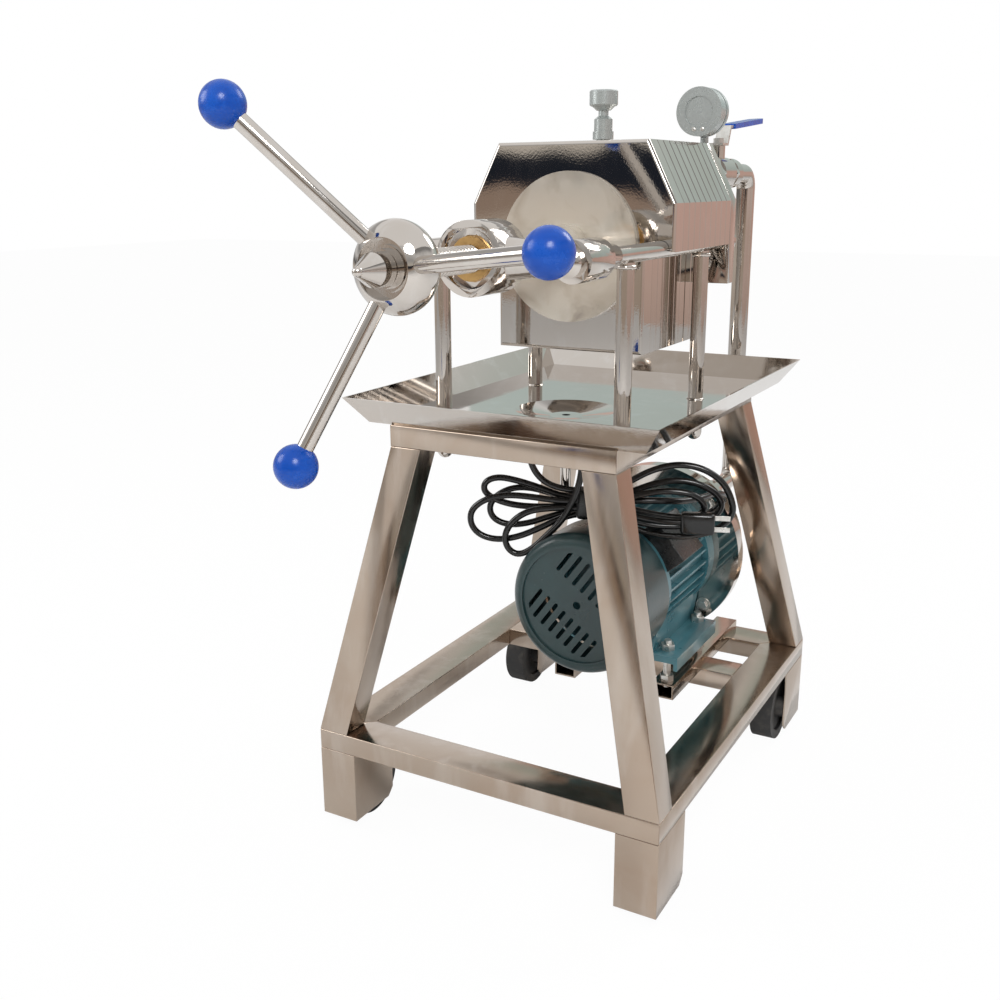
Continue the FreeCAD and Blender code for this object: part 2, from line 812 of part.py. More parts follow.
DISH_BOTTOM = "( frame_top - dish_depth )"
drain_bore = rod(
    "drain_bore",
    "drain_dia - 2 * drain_wall",
    "drain_length + dish_depth",
    "0",
    "drain_y",
    f"{DISH_BOTTOM} - drain_length",
    "z",
)
part(
    cut(
        "drip_tray",
        fuse("tray_outside", [tray_block("tray_block", "0", "0"), dish("dish_outside", "0")]),
        group(
            "tray_hollows",
            [
                fuse(
                    "tray_inside",
                    [
                        tray_block("tray_hollow", "tray_wall", "tray_sheet"),
                        dish("dish_inside", "tray_sheet"),
                        drain_bore,
                    ],
                ),
                post_holes,
            ],
        ),
    ),
    "drip_tray",
)
part(
    cut(
        "drain_spout",
        rod(
            "drain_outside",
            "drain_dia",
            "drain_length",
            "0",
            "drain_y",
            f"{DISH_BOTTOM} - drain_length",
            "z",
        ),
        drain_bore,
    ),
    "drain_spout",
)

# posts, tie rods and their nuts

tie_rod = rod(
    "tie_rod",
    "rod_dia",
    f"{END_BACK} - rod_front_y + 2 * rod_nut_length",
    ROD_X,
    "rod_front_y - rod_nut_length",
    "rod_height",
)
tie_rods = part(group("tie_rods", [tie_rod, mirrored("tie_rod_left", tie_rod)]), "tie_rods")

POST_BOTTOM = f"( {TOP_BOTTOM} - post_drop )"
post = fuse(
    "post",
    [
        rod(
            "post_shaft",
            "post_dia",
            f"rod_height - rod_dia / 2 + post_cope - {POST_BOTTOM} - post_dia / 2",
            ROD_X,
            "post_front_y",
            f"{POST_BOTTOM} + post_dia / 2",
            "z",
        ),
        ball("post_end", "post_dia", ROD_X, "post_front_y", f"{POST_BOTTOM} + post_dia / 2"),
    ],
)
post_rear = placed("post_rear", [post], y="post_pitch")
posts = group(
    "posts",
    [post, post_rear, mirrored("post_left", post), mirrored("post_rear_left", post_rear)],
)
part(cut("support_posts", posts, tie_rods), "support_posts")

DOME_DIA = "( ( rod_nut_dia ^ 2 / 4 + rod_nut_dome ^ 2 ) / rod_nut_dome )"
nut_round = doc.addObject("Part::MultiCommon", "rod_nut_round")
nut_round.Shapes = [
    rod(
        "rod_nut_bar",
        "rod_nut_dia",
        "rod_nut_length + rod_nut_dome",
        "0",
        "0 - rod_nut_length - rod_nut_dome",
        "0",
    ),
    ball(
        "rod_nut_ball",
        DOME_DIA,
        "0",
        f"{DOME_DIA} / 2 - rod_nut_length - rod_nut_dome",
        "0",
    ),
]
rod_nut = cut(
    "rod_nut",
    nut_round,
    rod("rod_nut_bore", "rod_dia", "rod_nut_length", "0", "0 - rod_nut_length", "0"),
)
rod_nut_back = mirrored("rod_nut_back", rod_nut, (0, 1, 0))
part(
    group(
        "rod_nuts",
        [
            placed("nut_front_right", [rod_nut], ROD_X, "rod_front_y", "rod_height"),
            placed("nut_front_left", [rod_nut], f"0 - {ROD_X}", "rod_front_y", "rod_height"),
            placed("nut_rear_right", [rod_nut_back], ROD_X, END_BACK, "rod_height"),
            placed("nut_rear_left", [rod_nut_back], f"0 - {ROD_X}", END_BACK, "rod_height"),
        ],
    ),
    "rod_nuts",
)

# yoke and its bronze nut

YOKE_MIDDLE = "( rod_front_y + yoke_length / 2 )"
arm = cone(
    "yoke_arm",
    "yoke_arm_root",
    "yoke_arm_tip",
    f"{ROD_X} - yoke_eye_dia / 4 - yoke_barrel_dia / 4",
    "yoke_barrel_dia / 4",
    YOKE_MIDDLE,
    "rod_height",
    "x",
)
eye = rod("yoke_eye", "yoke_eye_dia", "yoke_length", ROD_X, "rod_front_y", "rod_height")
nose = rod(
    "yoke_nose",
    "yoke_nose_dia",
    "yoke_length + yoke_nose",
    ROD_X,
    "rod_front_y",
    "rod_height",
)
rod_hole = rod(
    "yoke_rod_hole",
    "rod_dia + 2 * post_gap",
    "yoke_length + yoke_nose",
    ROD_X,
    "rod_front_y",
    "rod_height",
)
side_arm = fuse("yoke_side", [arm, eye, nose])
barrel = rod(
    "yoke_barrel", "yoke_barrel_dia", "yoke_length", "0", "rod_front_y", "rod_height"
)
part(
    cut(
        "yoke",
        fuse("yoke_outside", [barrel, side_arm, mirrored("yoke_other_side", side_arm)]),
        group(
            "yoke_bores",
            [
                fuse(
                    "nut_seat",
                    [
                        rod(
                            "yoke_recess_bore",
                            "yoke_recess_dia",
                            "yoke_recess",
                            "0",
                            "rod_front_y",
                            "rod_height",
                        ),
                        rod(
                            "yoke_bore",
                            "nut_dia",
                            "yoke_length",
                            "0",
                            "rod_front_y",
                            "rod_height",
                        ),
                    ],
                ),
                rod_hole,
                mirrored("yoke_other_rod_hole", rod_hole),
            ],
        ),
    ),
    "yoke",
)
NUT_Y = "( rod_front_y + yoke_recess - nut_proud )"
NUT_LENGTH = "( yoke_length - yoke_recess + nut_proud )"
part(
    cut(
        "bronze_nut",
        rod("nut_outside", "nut_dia", NUT_LENGTH, "0", NUT_Y, "rod_height"),
        rod(
            "nut_bore",
            "screw_dia + 2 * running_gap",
            NUT_LENGTH,
            "0",
            NUT_Y,
            "rod_height",
        ),
    ),
    "bronze_nut",
)

# plates


def level_faces(shape, at):
    """Names of a pad's flat faces at the given distances along Y."""
    return [
        f"Face{i}"
        for i, face in enumerate(shape.Faces, start=1)
        if face.BoundBox.YLength < 0.001 and min(abs(face.BoundBox.YMin - y) for y in at) < 0.01
    ]


def plate_blank(name, thick, drop):
    """A press plate's outline, symmetrical about the middle."""
    right = [
        ("plate_top_half", PLATE_TOP),
        ("plate_half", PLATE_SHOULDER),
        ("plate_half", f"rod_height - {drop}"),
        ("plate_body_half", f"rod_height - {drop}"),
        ("plate_body_half", PLATE_BOTTOM),
    ]
    left = [(f"0 - {x}", z) for x, z in reversed(right)]
    return pad(name, "XZ_Plane", right + left, thick)


def notches(name, thick):
    """Slots open downwards that let a plate hang on the tie rods."""
    width = "rod_dia + 2 * rod_play"
    slot = fuse(
        f"{name}_notch",
        [
            rod(f"{name}_notch_round", width, thick, ROD_X, "0", "rod_height"),
            block(
                f"{name}_notch_foot",
                f"{ROD_X} - ( {width} ) / 2",
                "0",
                "rod_height - rod_dia",
                width,
                thick,
                "rod_dia",
            ),
        ],
    )
    return [slot, mirrored(f"{name}_other_notch", slot)]


def eye_bore(name, thick):
    return rod(name, "eye_dia", thick, "eye_x", "0", EYE_Z)


def edged(blank, kind, width, at):
    """Breaks or rounds the edges of a plate's faces at these places along Y."""
    doc.recompute()
    plain = blank.Tip
    edge = blank.newObject(f"PartDesign::{kind}", f"{blank.Name}_edge")
    edge.Base = (plain, level_faces(plain.Shape, at))
    if kind == "Fillet":
        bind(edge, Radius=width)
    else:
        bind(edge, Size=width)
    blank.Tip = edge
    return blank


head = cut(
    "head",
    edged(plate_blank("head_blank", "head_thick", "ear_drop"), "Fillet", "head_edge", [0]),
    group("head_notches", notches("head", "head_thick")),
)
part(placed("head_plate", [head], y="head_y"), "head_plate")

chamber = rod("chamber", "chamber_dia", "chamber_depth", "0", "0", "rod_height")
filter_plate = cut(
    "filter_plate",
    edged(
        plate_blank("plate_blank", PLATE_THICK, "ear_drop"),
        "Chamfer",
        "plate_edge",
        [0, size("plate_pitch") - size("plate_gap")],
    ),
    group(
        "plate_cuts",
        [
            *notches("plate", PLATE_THICK),
            eye_bore("plate_eye", PLATE_THICK),
            chamber,
            mirrored("chamber_behind", chamber, (0, 1, 0), y=f"{PLATE_THICK} / 2"),
        ],
    ),
)
for i in range(1, int(size("plate_count")) + 1):
    part(
        placed(f"plate_{i}", [filter_plate], y=f"{FIRST_PLATE} + {i - 1} * plate_pitch"),
        f"filter_plate_{i}",
    )

end_rod_hole = rod("end_rod_hole", "rod_dia + 2 * post_gap", "end_thick", ROD_X, "0", "rod_height")
end = cut(
    "end",
    plate_blank("end_blank", "end_thick", "end_ear_drop"),
    group(
        "end_holes",
        [
            end_rod_hole,
            mirrored("end_other_rod_hole", end_rod_hole),
            eye_bore("end_eye", "end_thick"),
        ],
    ),
)
part(placed("end_plate", [end], y=END_FRONT), "end_plate")

part(
    cut(
        "pressure_disc",
        fuse(
            "disc_outside",
            [
                rod("disc", "disc_dia", "disc_thick", "0", "head_y - disc_thick", "rod_height"),
                rod("boss", "boss_dia", "boss_length", "0", BOSS_FRONT, "rod_height"),
            ],
        ),
        rod(
            "boss_socket",
            "screw_dia + 2 * running_gap",
            "socket_depth",
            "0",
            BOSS_FRONT,
            "rod_height",
        ),
    ),
    "pressure_disc",
)

# screw and handwheel

SCREW_END = f"( {BOSS_FRONT} + socket_depth - socket_floor_gap )"
END_NUT_SEAT = f"( {HOLLOW_FLOOR} - washer_thick )"
END_NUT_BODY = f"( {END_NUT_SEAT} - end_nut_seat )"
END_NUT_CONE = f"( {END_NUT_BODY} - end_nut_body )"
shank = rod(
    "shank",
    "shank_dia",
    f"{COLLAR_BACK} - {END_NUT_CONE}",
    "0",
    END_NUT_CONE,
    "rod_height",
)
screw_bar = rod(
    "screw_bar", "screw_dia", f"{SCREW_END} - {COLLAR_BACK}", "0", COLLAR_BACK, "rod_height"
)
part(fuse("screw", [screw_bar, shank]), "screw")

bulge = doc.addObject("Part::Ellipsoid", "hub_bulge")
bind(bulge, Radius1="hub_bulge", Radius2="hub_dia / 2")
bulge.Placement = FreeCAD.Placement(FreeCAD.Vector(), ALONG["y"])
place(bulge, "0", "hub_y", "rod_height")
SPOKE_REACH = "( sqrt( spoke_dish ^ 2 + spoke_radius ^ 2 ) )"
spoke = rod(
    "spoke",
    "spoke_dia",
    f"{SPOKE_REACH} - ball_dia / 2 + spoke_grip",
    "0",
    "0",
    "0",
    "z",
)
knob = cut(
    "knob",
    ball("knob_ball", "ball_dia", "0", "0", SPOKE_REACH),
    spoke,
)
LEAN = "( atan( spoke_dish / spoke_radius ) )"
leaning_spoke = placed("leaning_spoke", [spoke], turn=LEAN, about=(1, 0, 0))
leaning_knob = placed("leaning_knob", [knob], turn=LEAN, about=(1, 0, 0))


def round_hub(name, thing):
    """The three copies round the screw's axis."""
    return [
        placed(f"{name}_{side}", [thing], "0", "hub_y", "rod_height", f"90 - {side}_spoke_angle")
        for side in ("right", "upper", "lower")
    ]


hub = doc.addObject("Part::MultiCommon", "hub")
hub.Shapes = [
    bulge,
    rod("hub_disc", "hub_dia", "hub_thick", "0", "hub_y - hub_thick / 2", "rod_height"),
]
collar = rod(
    "hub_collar_bar",
    "hub_collar_dia",
    f"{COLLAR_BACK} - hub_y",
    "0",
    "hub_y",
    "rod_height",
)
part(
    cut(
        "handwheel",
        fuse("handwheel_outside", [hub, collar, *round_hub("spoke", leaning_spoke)]),
        fuse(
            "handwheel_bores",
            [
                rod(
                    "hub_hollow",
                    "hub_recess_dia",
                    "hub_thick - hub_recess",
                    "0",
                    "hub_y - hub_thick",
                    "rod_height",
                ),
                shank,
            ],
        ),
    ),
    "handwheel",
)
part(group("ball_knobs", round_hub("knob", leaning_knob)), "ball_knobs")

nut_cone = cone(
    "end_nut_nose",
    "end_nut_body_dia",
    "end_nut_tip_dia",
    "end_nut_cone",
    "0",
    "0",
    "0",
)
nut_nose = mirrored("end_nut_nose_forward", nut_cone, (0, 1, 0))
part(
    cut(
        "acorn_nut",
        fuse(
            "end_nut",
            [
                rod("washer", "washer_dia", "washer_thick", "0", END_NUT_SEAT, "rod_height"),
                rod("nut_seat_ring", "end_nut_dia", "end_nut_seat", "0", END_NUT_BODY, "rod_height"),
                rod(
                    "nut_body",
                    "end_nut_body_dia",
                    "end_nut_body",
                    "0",
                    END_NUT_CONE,
                    "rod_height",
                ),
                placed("nut_nose", [nut_nose], "0", END_NUT_CONE, "rod_height"),
                ball("nut_tip", "end_nut_tip_dia", "0", f"{END_NUT_CONE} - end_nut_cone", "rod_height"),
            ],
        ),
        shank,
    ),
    "acorn_nut",
)

# vent valve on its filter plate

VENT_Y = f"( {FIRST_PLATE} + ( vent_plate - 1 ) * plate_pitch + {PLATE_THICK} / 2 )"
KNOB_Z = f"( {PLATE_TOP} + vent_body + vent_neck )"
part(
    fuse(
        "vent_body",
        [
            rod("vent_stem", "vent_stem_dia", "vent_body / 2", "0", VENT_Y, PLATE_TOP, "z"),
            rod(
                "vent_ring",
                "vent_foot_dia",
                "vent_foot",
                "0",
                VENT_Y,
                f"{PLATE_TOP} + vent_stem",
                "z",
            ),
            rod(
                "vent_barrel",
                "vent_body_dia",
                "vent_body - vent_stem - vent_shoulder",
                "0",
                VENT_Y,
                f"{PLATE_TOP} + vent_stem",
                "z",
            ),
            cone(
                "vent_taper",
                "vent_body_dia",
                "vent_neck_dia",
                "vent_shoulder",
                "0",
                VENT_Y,
                f"{PLATE_TOP} + vent_body - vent_shoulder",
                "z",
            ),
            rod(
                "vent_spindle",
                "vent_neck_dia",
                "vent_neck + vent_grip + vent_body / 2",
                "0",
                VENT_Y,
                f"{PLATE_TOP} + vent_body / 2",
                "z",
            ),
        ],
    ),
    "vent_body",
)
part(
    cut(
        "vent_knob",
        fuse(
            "vent_knob_outside",
            [
                cone(
                    "vent_knob_skirt",
                    "vent_skirt_dia",
                    "vent_knob_dia - 4 * vent_knob_edge",
                    "vent_skirt",
                    "0",
                    VENT_Y,
                    f"{KNOB_Z} - vent_skirt",
                    "z",
                ),
                cone(
                    "vent_knob_foot",
                    "vent_knob_dia - 2 * vent_knob_edge",
                    "vent_knob_dia",
                    "vent_knob_edge",
                    "0",
                    VENT_Y,
                    KNOB_Z,
                    "z",
                ),
                rod(
                    "vent_knob_rim",
                    "vent_knob_dia",
                    "vent_knob - 2 * vent_knob_edge",
                    "0",
                    VENT_Y,
                    f"{KNOB_Z} + vent_knob_edge",
                    "z",
                ),
                cone(
                    "vent_knob_crown",
                    "vent_knob_dia",
                    "vent_knob_dia - 2 * vent_knob_edge",
                    "vent_knob_edge",
                    "0",
                    VENT_Y,
                    f"{KNOB_Z} + vent_knob - vent_knob_edge",
                    "z",
                ),
            ],
        ),
        rod(
            "vent_knob_bore",
            "vent_neck_dia + 2 * running_gap",
            "vent_skirt + vent_grip + seat_gap",
            "0",
            VENT_Y,
            f"{KNOB_Z} - vent_skirt",
            "z",
        ),
    ),
    "vent_knob",
)

# pressure gauge

GAUGE_Z = f"( {PLATE_TOP} + gauge_rise )"
GAUGE_Y = f"( {END_FRONT} - gauge_setback )"
GAUGE_FACE = f"( {GAUGE_Y} + gauge_depth )"
part(
    cut(
        "gauge",
        fuse(
            "gauge_outside",
            [
                rod("gauge_case", "gauge_dia", "gauge_depth", "gauge_x", GAUGE_Y, GAUGE_Z),
                rod(
                    "gauge_stem",
                    "gauge_stem_dia",
                    "gauge_rise",
                    "gauge_x",
                    f"{END_FRONT} + end_thick / 2",
                    PLATE_TOP,
                    "z",
                ),
            ],
        ),
        group(
            "gauge_hollows",
            [
                rod("gauge_ring", "gauge_boss_dia", "gauge_boss", "gauge_x", GAUGE_Y, GAUGE_Z),
                cut(
                    "gauge_groove",
                    rod(
                        "groove_outside",
                        "gauge_dia + 2 * gauge_groove",
                        "gauge_groove_width",
                        "gauge_x",
                        f"{GAUGE_Y} + gauge_groove_y",
                        GAUGE_Z,
                    ),
                    rod(
                        "groove_inside",
                        "gauge_dia - 2 * gauge_groove",
                        "gauge_groove_width",
                        "gauge_x",
                        f"{GAUGE_Y} + gauge_groove_y",
                        GAUGE_Z,
                    ),
                ),
                rod(
                    "dial_seat",
                    "gauge_dia - 2 * gauge_bezel",
                    "gauge_sink + dial_thick",
                    "gauge_x",
                    f"{GAUGE_FACE} - gauge_sink - dial_thick",
                    GAUGE_Z,
                ),
            ],
        ),
    ),
    "gauge",
)
part(
    rod(
        "gauge_dial",
        "gauge_dia - 2 * gauge_bezel - 2 * post_gap",
        "dial_thick",
        "gauge_x",
        f"{GAUGE_FACE} - gauge_sink - dial_thick",
        GAUGE_Z,
    ),
    "gauge_dial",
)

# feed valve, union and pipe

bonnet = rod("bonnet", "bonnet_dia", "bonnet_top", "eye_x", VALVE_Y, EYE_Z, "z")
hex_front = hexagon("valve_hex_front", "valve_hex", "valve_hex_length", "eye_x", END_BACK, EYE_Z)
barrel = rod(
    "valve_barrel",
    "valve_dia",
    "2 * valve_half",
    "eye_x",
    f"{VALVE_Y} - valve_half",
    EYE_Z,
)
hex_back = hexagon(
    "valve_hex_back",
    "valve_hex",
    "valve_hex_length",
    "eye_x",
    f"{VALVE_BACK} - valve_hex_length",
    EYE_Z,
)
part(
    cut(
        "valve_body",
        fuse("valve_outside", [hex_front, barrel, hex_back, bonnet]),
        fuse(
            "valve_bores",
            [
                rod(
                    "valve_bore",
                    "eye_dia",
                    f"{VALVE_BACK} - {END_BACK}",
                    "eye_x",
                    END_BACK,
                    EYE_Z,
                ),
                rod(
                    "stem_bore",
                    "stem_dia + 2 * running_gap",
                    "bonnet_top",
                    "eye_x",
                    VALVE_Y,
                    EYE_Z,
                    "z",
                ),
            ],
        ),
    ),
    "valve_body",
)
part(
    cut(
        "pipe_union",
        rod("union_outside", "union_dia", "union_length", "eye_x", VALVE_BACK, EYE_Z),
        rod("union_bore", "pipe_dia", "union_length", "eye_x", VALVE_BACK, EYE_Z),
    ),
    "pipe_union",
)

GRIP_RUN = "( lever_length - lever_hub - lever_neck )"
GRIP_LOW = f"( lever_rise + lever_slope * ( grip_start - lever_hub - lever_neck ) / {GRIP_RUN} )"
lever_strip = pad(
    "lever_strip",
    "YZ_Plane",
    [
        ("0 - lever_width / 2", "0"),
        ("lever_hub", "0"),
        ("lever_hub + lever_neck", "lever_rise"),
        ("lever_length", "lever_rise + lever_slope"),
        ("lever_length", "lever_rise + lever_slope + lever_thick"),
        ("lever_hub + lever_neck - lever_thick", "lever_rise + lever_thick"),
        ("lever_hub - lever_thick", "lever_thick"),
        ("0 - lever_width / 2", "lever_thick"),
    ],
    "lever_width",
)
place(lever_strip, "eye_x - lever_width / 2", VALVE_Y, LEVER_Z)
TIP_ROUND_Y = f"( {VALVE_Y} + lever_length - lever_width / 2 )"


def tip_corners(name, width):
    """What a round tip leaves off a strip of this width."""
    return cut(
        name,
        block(
            f"{name}_square",
            f"eye_x - {width}",
            TIP_ROUND_Y,
            LEVER_Z,
            f"2 * {width}",
            width,
            "lever_length",
        ),
        rod(f"{name}_round", width, "lever_length", "eye_x", TIP_ROUND_Y, LEVER_Z, "z"),
    )


round_strip = cut("round_strip", lever_strip, tip_corners("strip_tip", "lever_width"))
part(
    fuse(
        "valve_lever",
        [
            round_strip,
            rod(
                "stem",
                "stem_dia",
                f"{LEVER_Z} - {EYE_Z} - eye_dia / 2 + lever_thick",
                "eye_x",
                VALVE_Y,
                f"{EYE_Z} + eye_dia / 2",
                "z",
            ),
            hexagon(
                "stem_nut_hex",
                "stem_nut_dia",
                "stem_nut",
                "eye_x",
                VALVE_Y,
                f"{LEVER_Z} + lever_thick",
                "z",
            ),
        ],
    ),
    "valve_lever",
)
grip = pad(
    "grip",
    "YZ_Plane",
    [
        ("grip_start", f"{GRIP_LOW} - grip_skin"),
        ("lever_length + grip_skin", "lever_rise + lever_slope - grip_skin"),
        ("lever_length + grip_skin", "lever_rise + lever_slope + lever_thick + grip_skin"),
        ("grip_start", f"{GRIP_LOW} + lever_thick + grip_skin"),
    ],
    "lever_width + 2 * grip_skin",
)
place(grip, "eye_x - lever_width / 2 - grip_skin", VALVE_Y, LEVER_Z)
GRIP_WIDTH = "( lever_width + 2 * grip_skin )"
round_grip = cut("round_grip", grip, tip_corners("grip_tip", GRIP_WIDTH))
part(cut("lever_grip", round_grip, round_strip), "lever_grip")


def pipe_run(name, corners, radii, dia):
    """A round bar or bore along straight runs joined by tangent bends."""
    edges = []
    here = corners[0]
    for corner, after, radius in zip(corners[1:], corners[2:], radii):
        back = (here - corner).normalize()
        on = (after - corner).normalize()
        half = back.getAngle(on) / 2
        reach = radius / math.tan(half)
        start = corner + back * reach
        stop = corner + on * reach
        inward = (back + on).normalize()
        top = corner + inward * (radius / math.sin(half) - radius)
        edges.append(Part.LineSegment(here, start).toShape())
        edges.append(Part.Arc(start, top, stop).toShape())
        here = stop
    edges.append(Part.LineSegment(here, corners[-1]).toShape())
    wire = Part.Wire(edges)
    along = (corners[1] - corners[0]).normalize()
    section = Part.Wire([Part.Circle(corners[0], along, dia / 2).toShape()])
    solid = wire.makePipeShell([section], True, False)
    thing = doc.addObject("Part::Feature", name)
    thing.Shape = solid
    print(name, "radii", [round(r, 1) for r in radii], "length", round(wire.Length, 1))
    print(name, "volume", round(solid.Volume), round(math.pi * dia**2 / 4 * wire.Length))
    return thing


eye_z = size("rod_height") + size("eye_rise")
end_back = size("head_y") + size("head_thick") + size("plate_gap") + size("end_thick")
end_back += size("plate_count") * size("plate_pitch")
union_front = end_back + 2 * (size("valve_hex_length") + size("valve_half"))
motor_z = size("rail_bottom") + size("rail_height") + size("motor_rail_height")
motor_z += size("motor_lift") + size("shaft_height")
pump_back = size("motor_front_y") + size("fan_cover_length") + size("bell_length")
pump_back += size("frame_length") + size("flange_length") + size("pump_disc")
pump_back += size("pump_casing")
pipe_corners = [
    FreeCAD.Vector(size("eye_x"), union_front, eye_z),
    FreeCAD.Vector(size("eye_x"), size("pipe_y"), eye_z),
    FreeCAD.Vector(size("eye_x"), size("pipe_y"), size("pipe_foot_height")),
    FreeCAD.Vector(size("eye_x"), pump_back, size("pipe_foot_height")),
]
bends = [size("pipe_bend")] * 2
part(
    cut(
        "feed_pipe",
        pipe_run("pipe_outside", pipe_corners, bends, size("pipe_dia")),
        pipe_run(
            "pipe_inside", pipe_corners, bends, size("pipe_dia") - 2 * size("pipe_wall")
        ),
    ),
    "feed_pipe",
)

# motor



def round_cup(name, dia, length, round_by, y):
    """A drum whose front edge is rounded, from its front face backwards."""
    ring = doc.addObject("Part::Torus", f"{name}_shoulder")
    bind(ring, Radius1=f"( {dia} ) / 2 - {round_by}", Radius2=round_by)
    ring.Placement = FreeCAD.Placement(FreeCAD.Vector(), ALONG["y"])
    place(ring, y=f"{y} + {round_by}")
    face = rod(f"{name}_face", f"{dia} - 2 * {round_by}", round_by, "0", y, "0")
    drum = rod(f"{name}_drum", dia, f"{length} - {round_by}", "0", f"{y} + {round_by}", "0")
    return fuse(name, [ring, face, drum])


SHEET_INSIDE = "( fan_cover_sheet + fan_face_sink )"
cup = cut(
    "fan_cup",
    round_cup("cup_outside", "fan_cover_dia", "fan_cover_length", "fan_cover_round", "0"),
    fuse(
        "cup_hollows",
        [
            round_cup(
                "cup_inside",
                "fan_cover_dia - 2 * fan_cover_sheet",
                f"fan_cover_length - {SHEET_INSIDE}",
                "( fan_cover_round - fan_cover_sheet )",
                SHEET_INSIDE,
            ),
            rod("cup_face", "fan_face_dia", "fan_face_sink", "0", "0", "0"),
            rod("cup_hole", "fan_hole_dia", "fan_cover_length", "0", "0", "0"),
        ],
    ),
)
slot = fuse(
    "slot",
    [
        block(
            "slot_middle",
            "0 - slot_width / 2",
            "0",
            "0 - slot_length / 2",
            "slot_width",
            "fan_cover_length / 2",
            "slot_length",
        ),
        rod("slot_top", "slot_width", "fan_cover_length / 2", "0", "0", "slot_length / 2"),
        rod("slot_foot", "slot_width", "fan_cover_length / 2", "0", "0", "0 - slot_length / 2"),
    ],
)
slots = [
    placed(
        f"slot_{side}_{i}",
        [slot],
        f"( {i} - ( slot_count - 1 ) / 2 ) * slot_pitch",
        "0",
        f"{sign} slot_field",
    )
    for side, sign in (("upper", "0 +"), ("lower", "0 -"))
    for i in range(int(size("slot_count")))
]
slot_round = rod("slot_round", "slot_round_dia", "fan_cover_length / 2", "0", "0", "0")
slot_fields = doc.addObject("Part::MultiCommon", "slot_fields")
slot_fields.Shapes = [group("slots", slots), slot_round]
fan_cover = cut("slotted_cup", cup, placed("slanted_slots", [slot_fields], turn="slot_slant"))
part(placed("fan_cover", [fan_cover], "motor_x", "motor_front_y", SHAFT_Z), "fan_cover")

fins, sketch = on_plane(
    "finned_frame",
    "XZ_Plane",
    [
        ("0 - fin_thick / 2", "frame_dia / 4"),
        ("fin_thick / 2", "frame_dia / 4"),
        ("fin_thick / 2", "frame_dia / 2 + fin_height"),
        ("0 - fin_thick / 2", "frame_dia / 2 + fin_height"),
    ],
)
core = fins.newObject("PartDesign::AdditiveCylinder", "frame_core")
core.AttachmentSupport = [
    (next(f for f in fins.Origin.OriginFeatures if f.Role == "XZ_Plane"), "")
]
core.MapMode = "FlatFace"
core.AttachmentOffset = FreeCAD.Placement(
    FreeCAD.Vector(), FreeCAD.Rotation(FreeCAD.Vector(1, 0, 0), 180)
)
bind(core, Radius="frame_dia / 2", Height="frame_length")
fin = fins.newObject("PartDesign::Pad", "fin")
fin.Profile = sketch
fin.Reversed = True
bind(fin, Length="frame_length")
ring = fins.newObject("PartDesign::PolarPattern", "fin_ring")
ring.Originals = [fin]
ring.Axis = (next(f for f in fins.Origin.OriginFeatures if f.Role == "Y_Axis"), [""])
ring.Angle = 360
bind(ring, Occurrences="fin_count")
fins.Tip = ring
doc.recompute()
place(fins, "motor_x", FRAME_Y, SHAFT_Z)
bell = rod("bell", "bell_dia", "bell_length", "motor_x", BELL_Y, SHAFT_Z)
flange = rod(
    "flange", "bell_dia", "flange_length", "motor_x", f"{PUMP_Y} - flange_length", SHAFT_Z
)
box_block = block(
    "box_block", BOX_SEAT, "box_y", "0 - box_width / 2", "box_height", "box_length", "box_width"
)
box_seat_cut = block(
    "box_seat_cut",
    BOX_SEAT,
    "box_y",
    "0 - box_width / 2 - seat_gap",
    "box_height",
    "box_length",
    "box_width + 2 * seat_gap",
)


def by_the_box(name, thing):
    """Turned up from the motor's side to where the terminal box sits."""
    return placed(name, [thing], "motor_x", "0", SHAFT_Z, "0 - box_angle")


FOOT_X = "( foot_spread / 2 )"
FOOT_START = "( foot_bolt_y - foot_front )"
FOOT_LENGTH = "( foot_front + foot_pitch + foot_rear )"
web = pad(
    "foot_web_blank",
    "XZ_Plane",
    [
        (f"{FOOT_X} - foot_web", f"{FOOT_Z} + foot_thick"),
        (f"{FOOT_X} - foot_width / 2", f"{FOOT_Z} + foot_thick"),
        ("0", f"{SHAFT_Z} - frame_dia / 4"),
        ("frame_dia / 2", SHAFT_Z),
    ],
    FOOT_LENGTH,
)
place(web, "motor_x", FOOT_START)
motor_body = cut(
    "motor_body",
    fuse(
        "motor_outside",
        [fins, bell, flange, web, mirrored("foot_web_left", web, x="motor_x")],
    ),
    by_the_box("box_seat_tool", box_seat_cut),
)
part(motor_body, "motor_body")

foot_plate = block(
    "foot_strip",
    f"motor_x + {FOOT_X} - foot_width / 2",
    FOOT_START,
    FOOT_Z,
    "foot_width",
    FOOT_LENGTH,
    "foot_thick",
)
foot_holes = group(
    "foot_holes",
    [
        rod(
            f"foot_hole_{i}",
            "stud_dia + 2 * stud_gap",
            "foot_thick",
            f"motor_x + {FOOT_X}",
            f"foot_bolt_y + {i} * foot_pitch",
            FOOT_Z,
            "z",
        )
        for i in range(2)
    ],
)
foot_lip = block(
    "foot_lip_strip",
    f"motor_x + {FOOT_X} + foot_width / 2 - foot_lip",
    FOOT_START,
    f"{FOOT_Z} - foot_lip_drop",
    "foot_lip",
    FOOT_LENGTH,
    "foot_lip_drop + foot_thick",
)
foot_right = cut("foot_right", fuse("foot_angle", [foot_plate, foot_lip]), foot_holes)
part(
    group("motor_feet", [foot_right, mirrored("foot_left", foot_right, x="motor_x")]),
    "motor_feet",
)

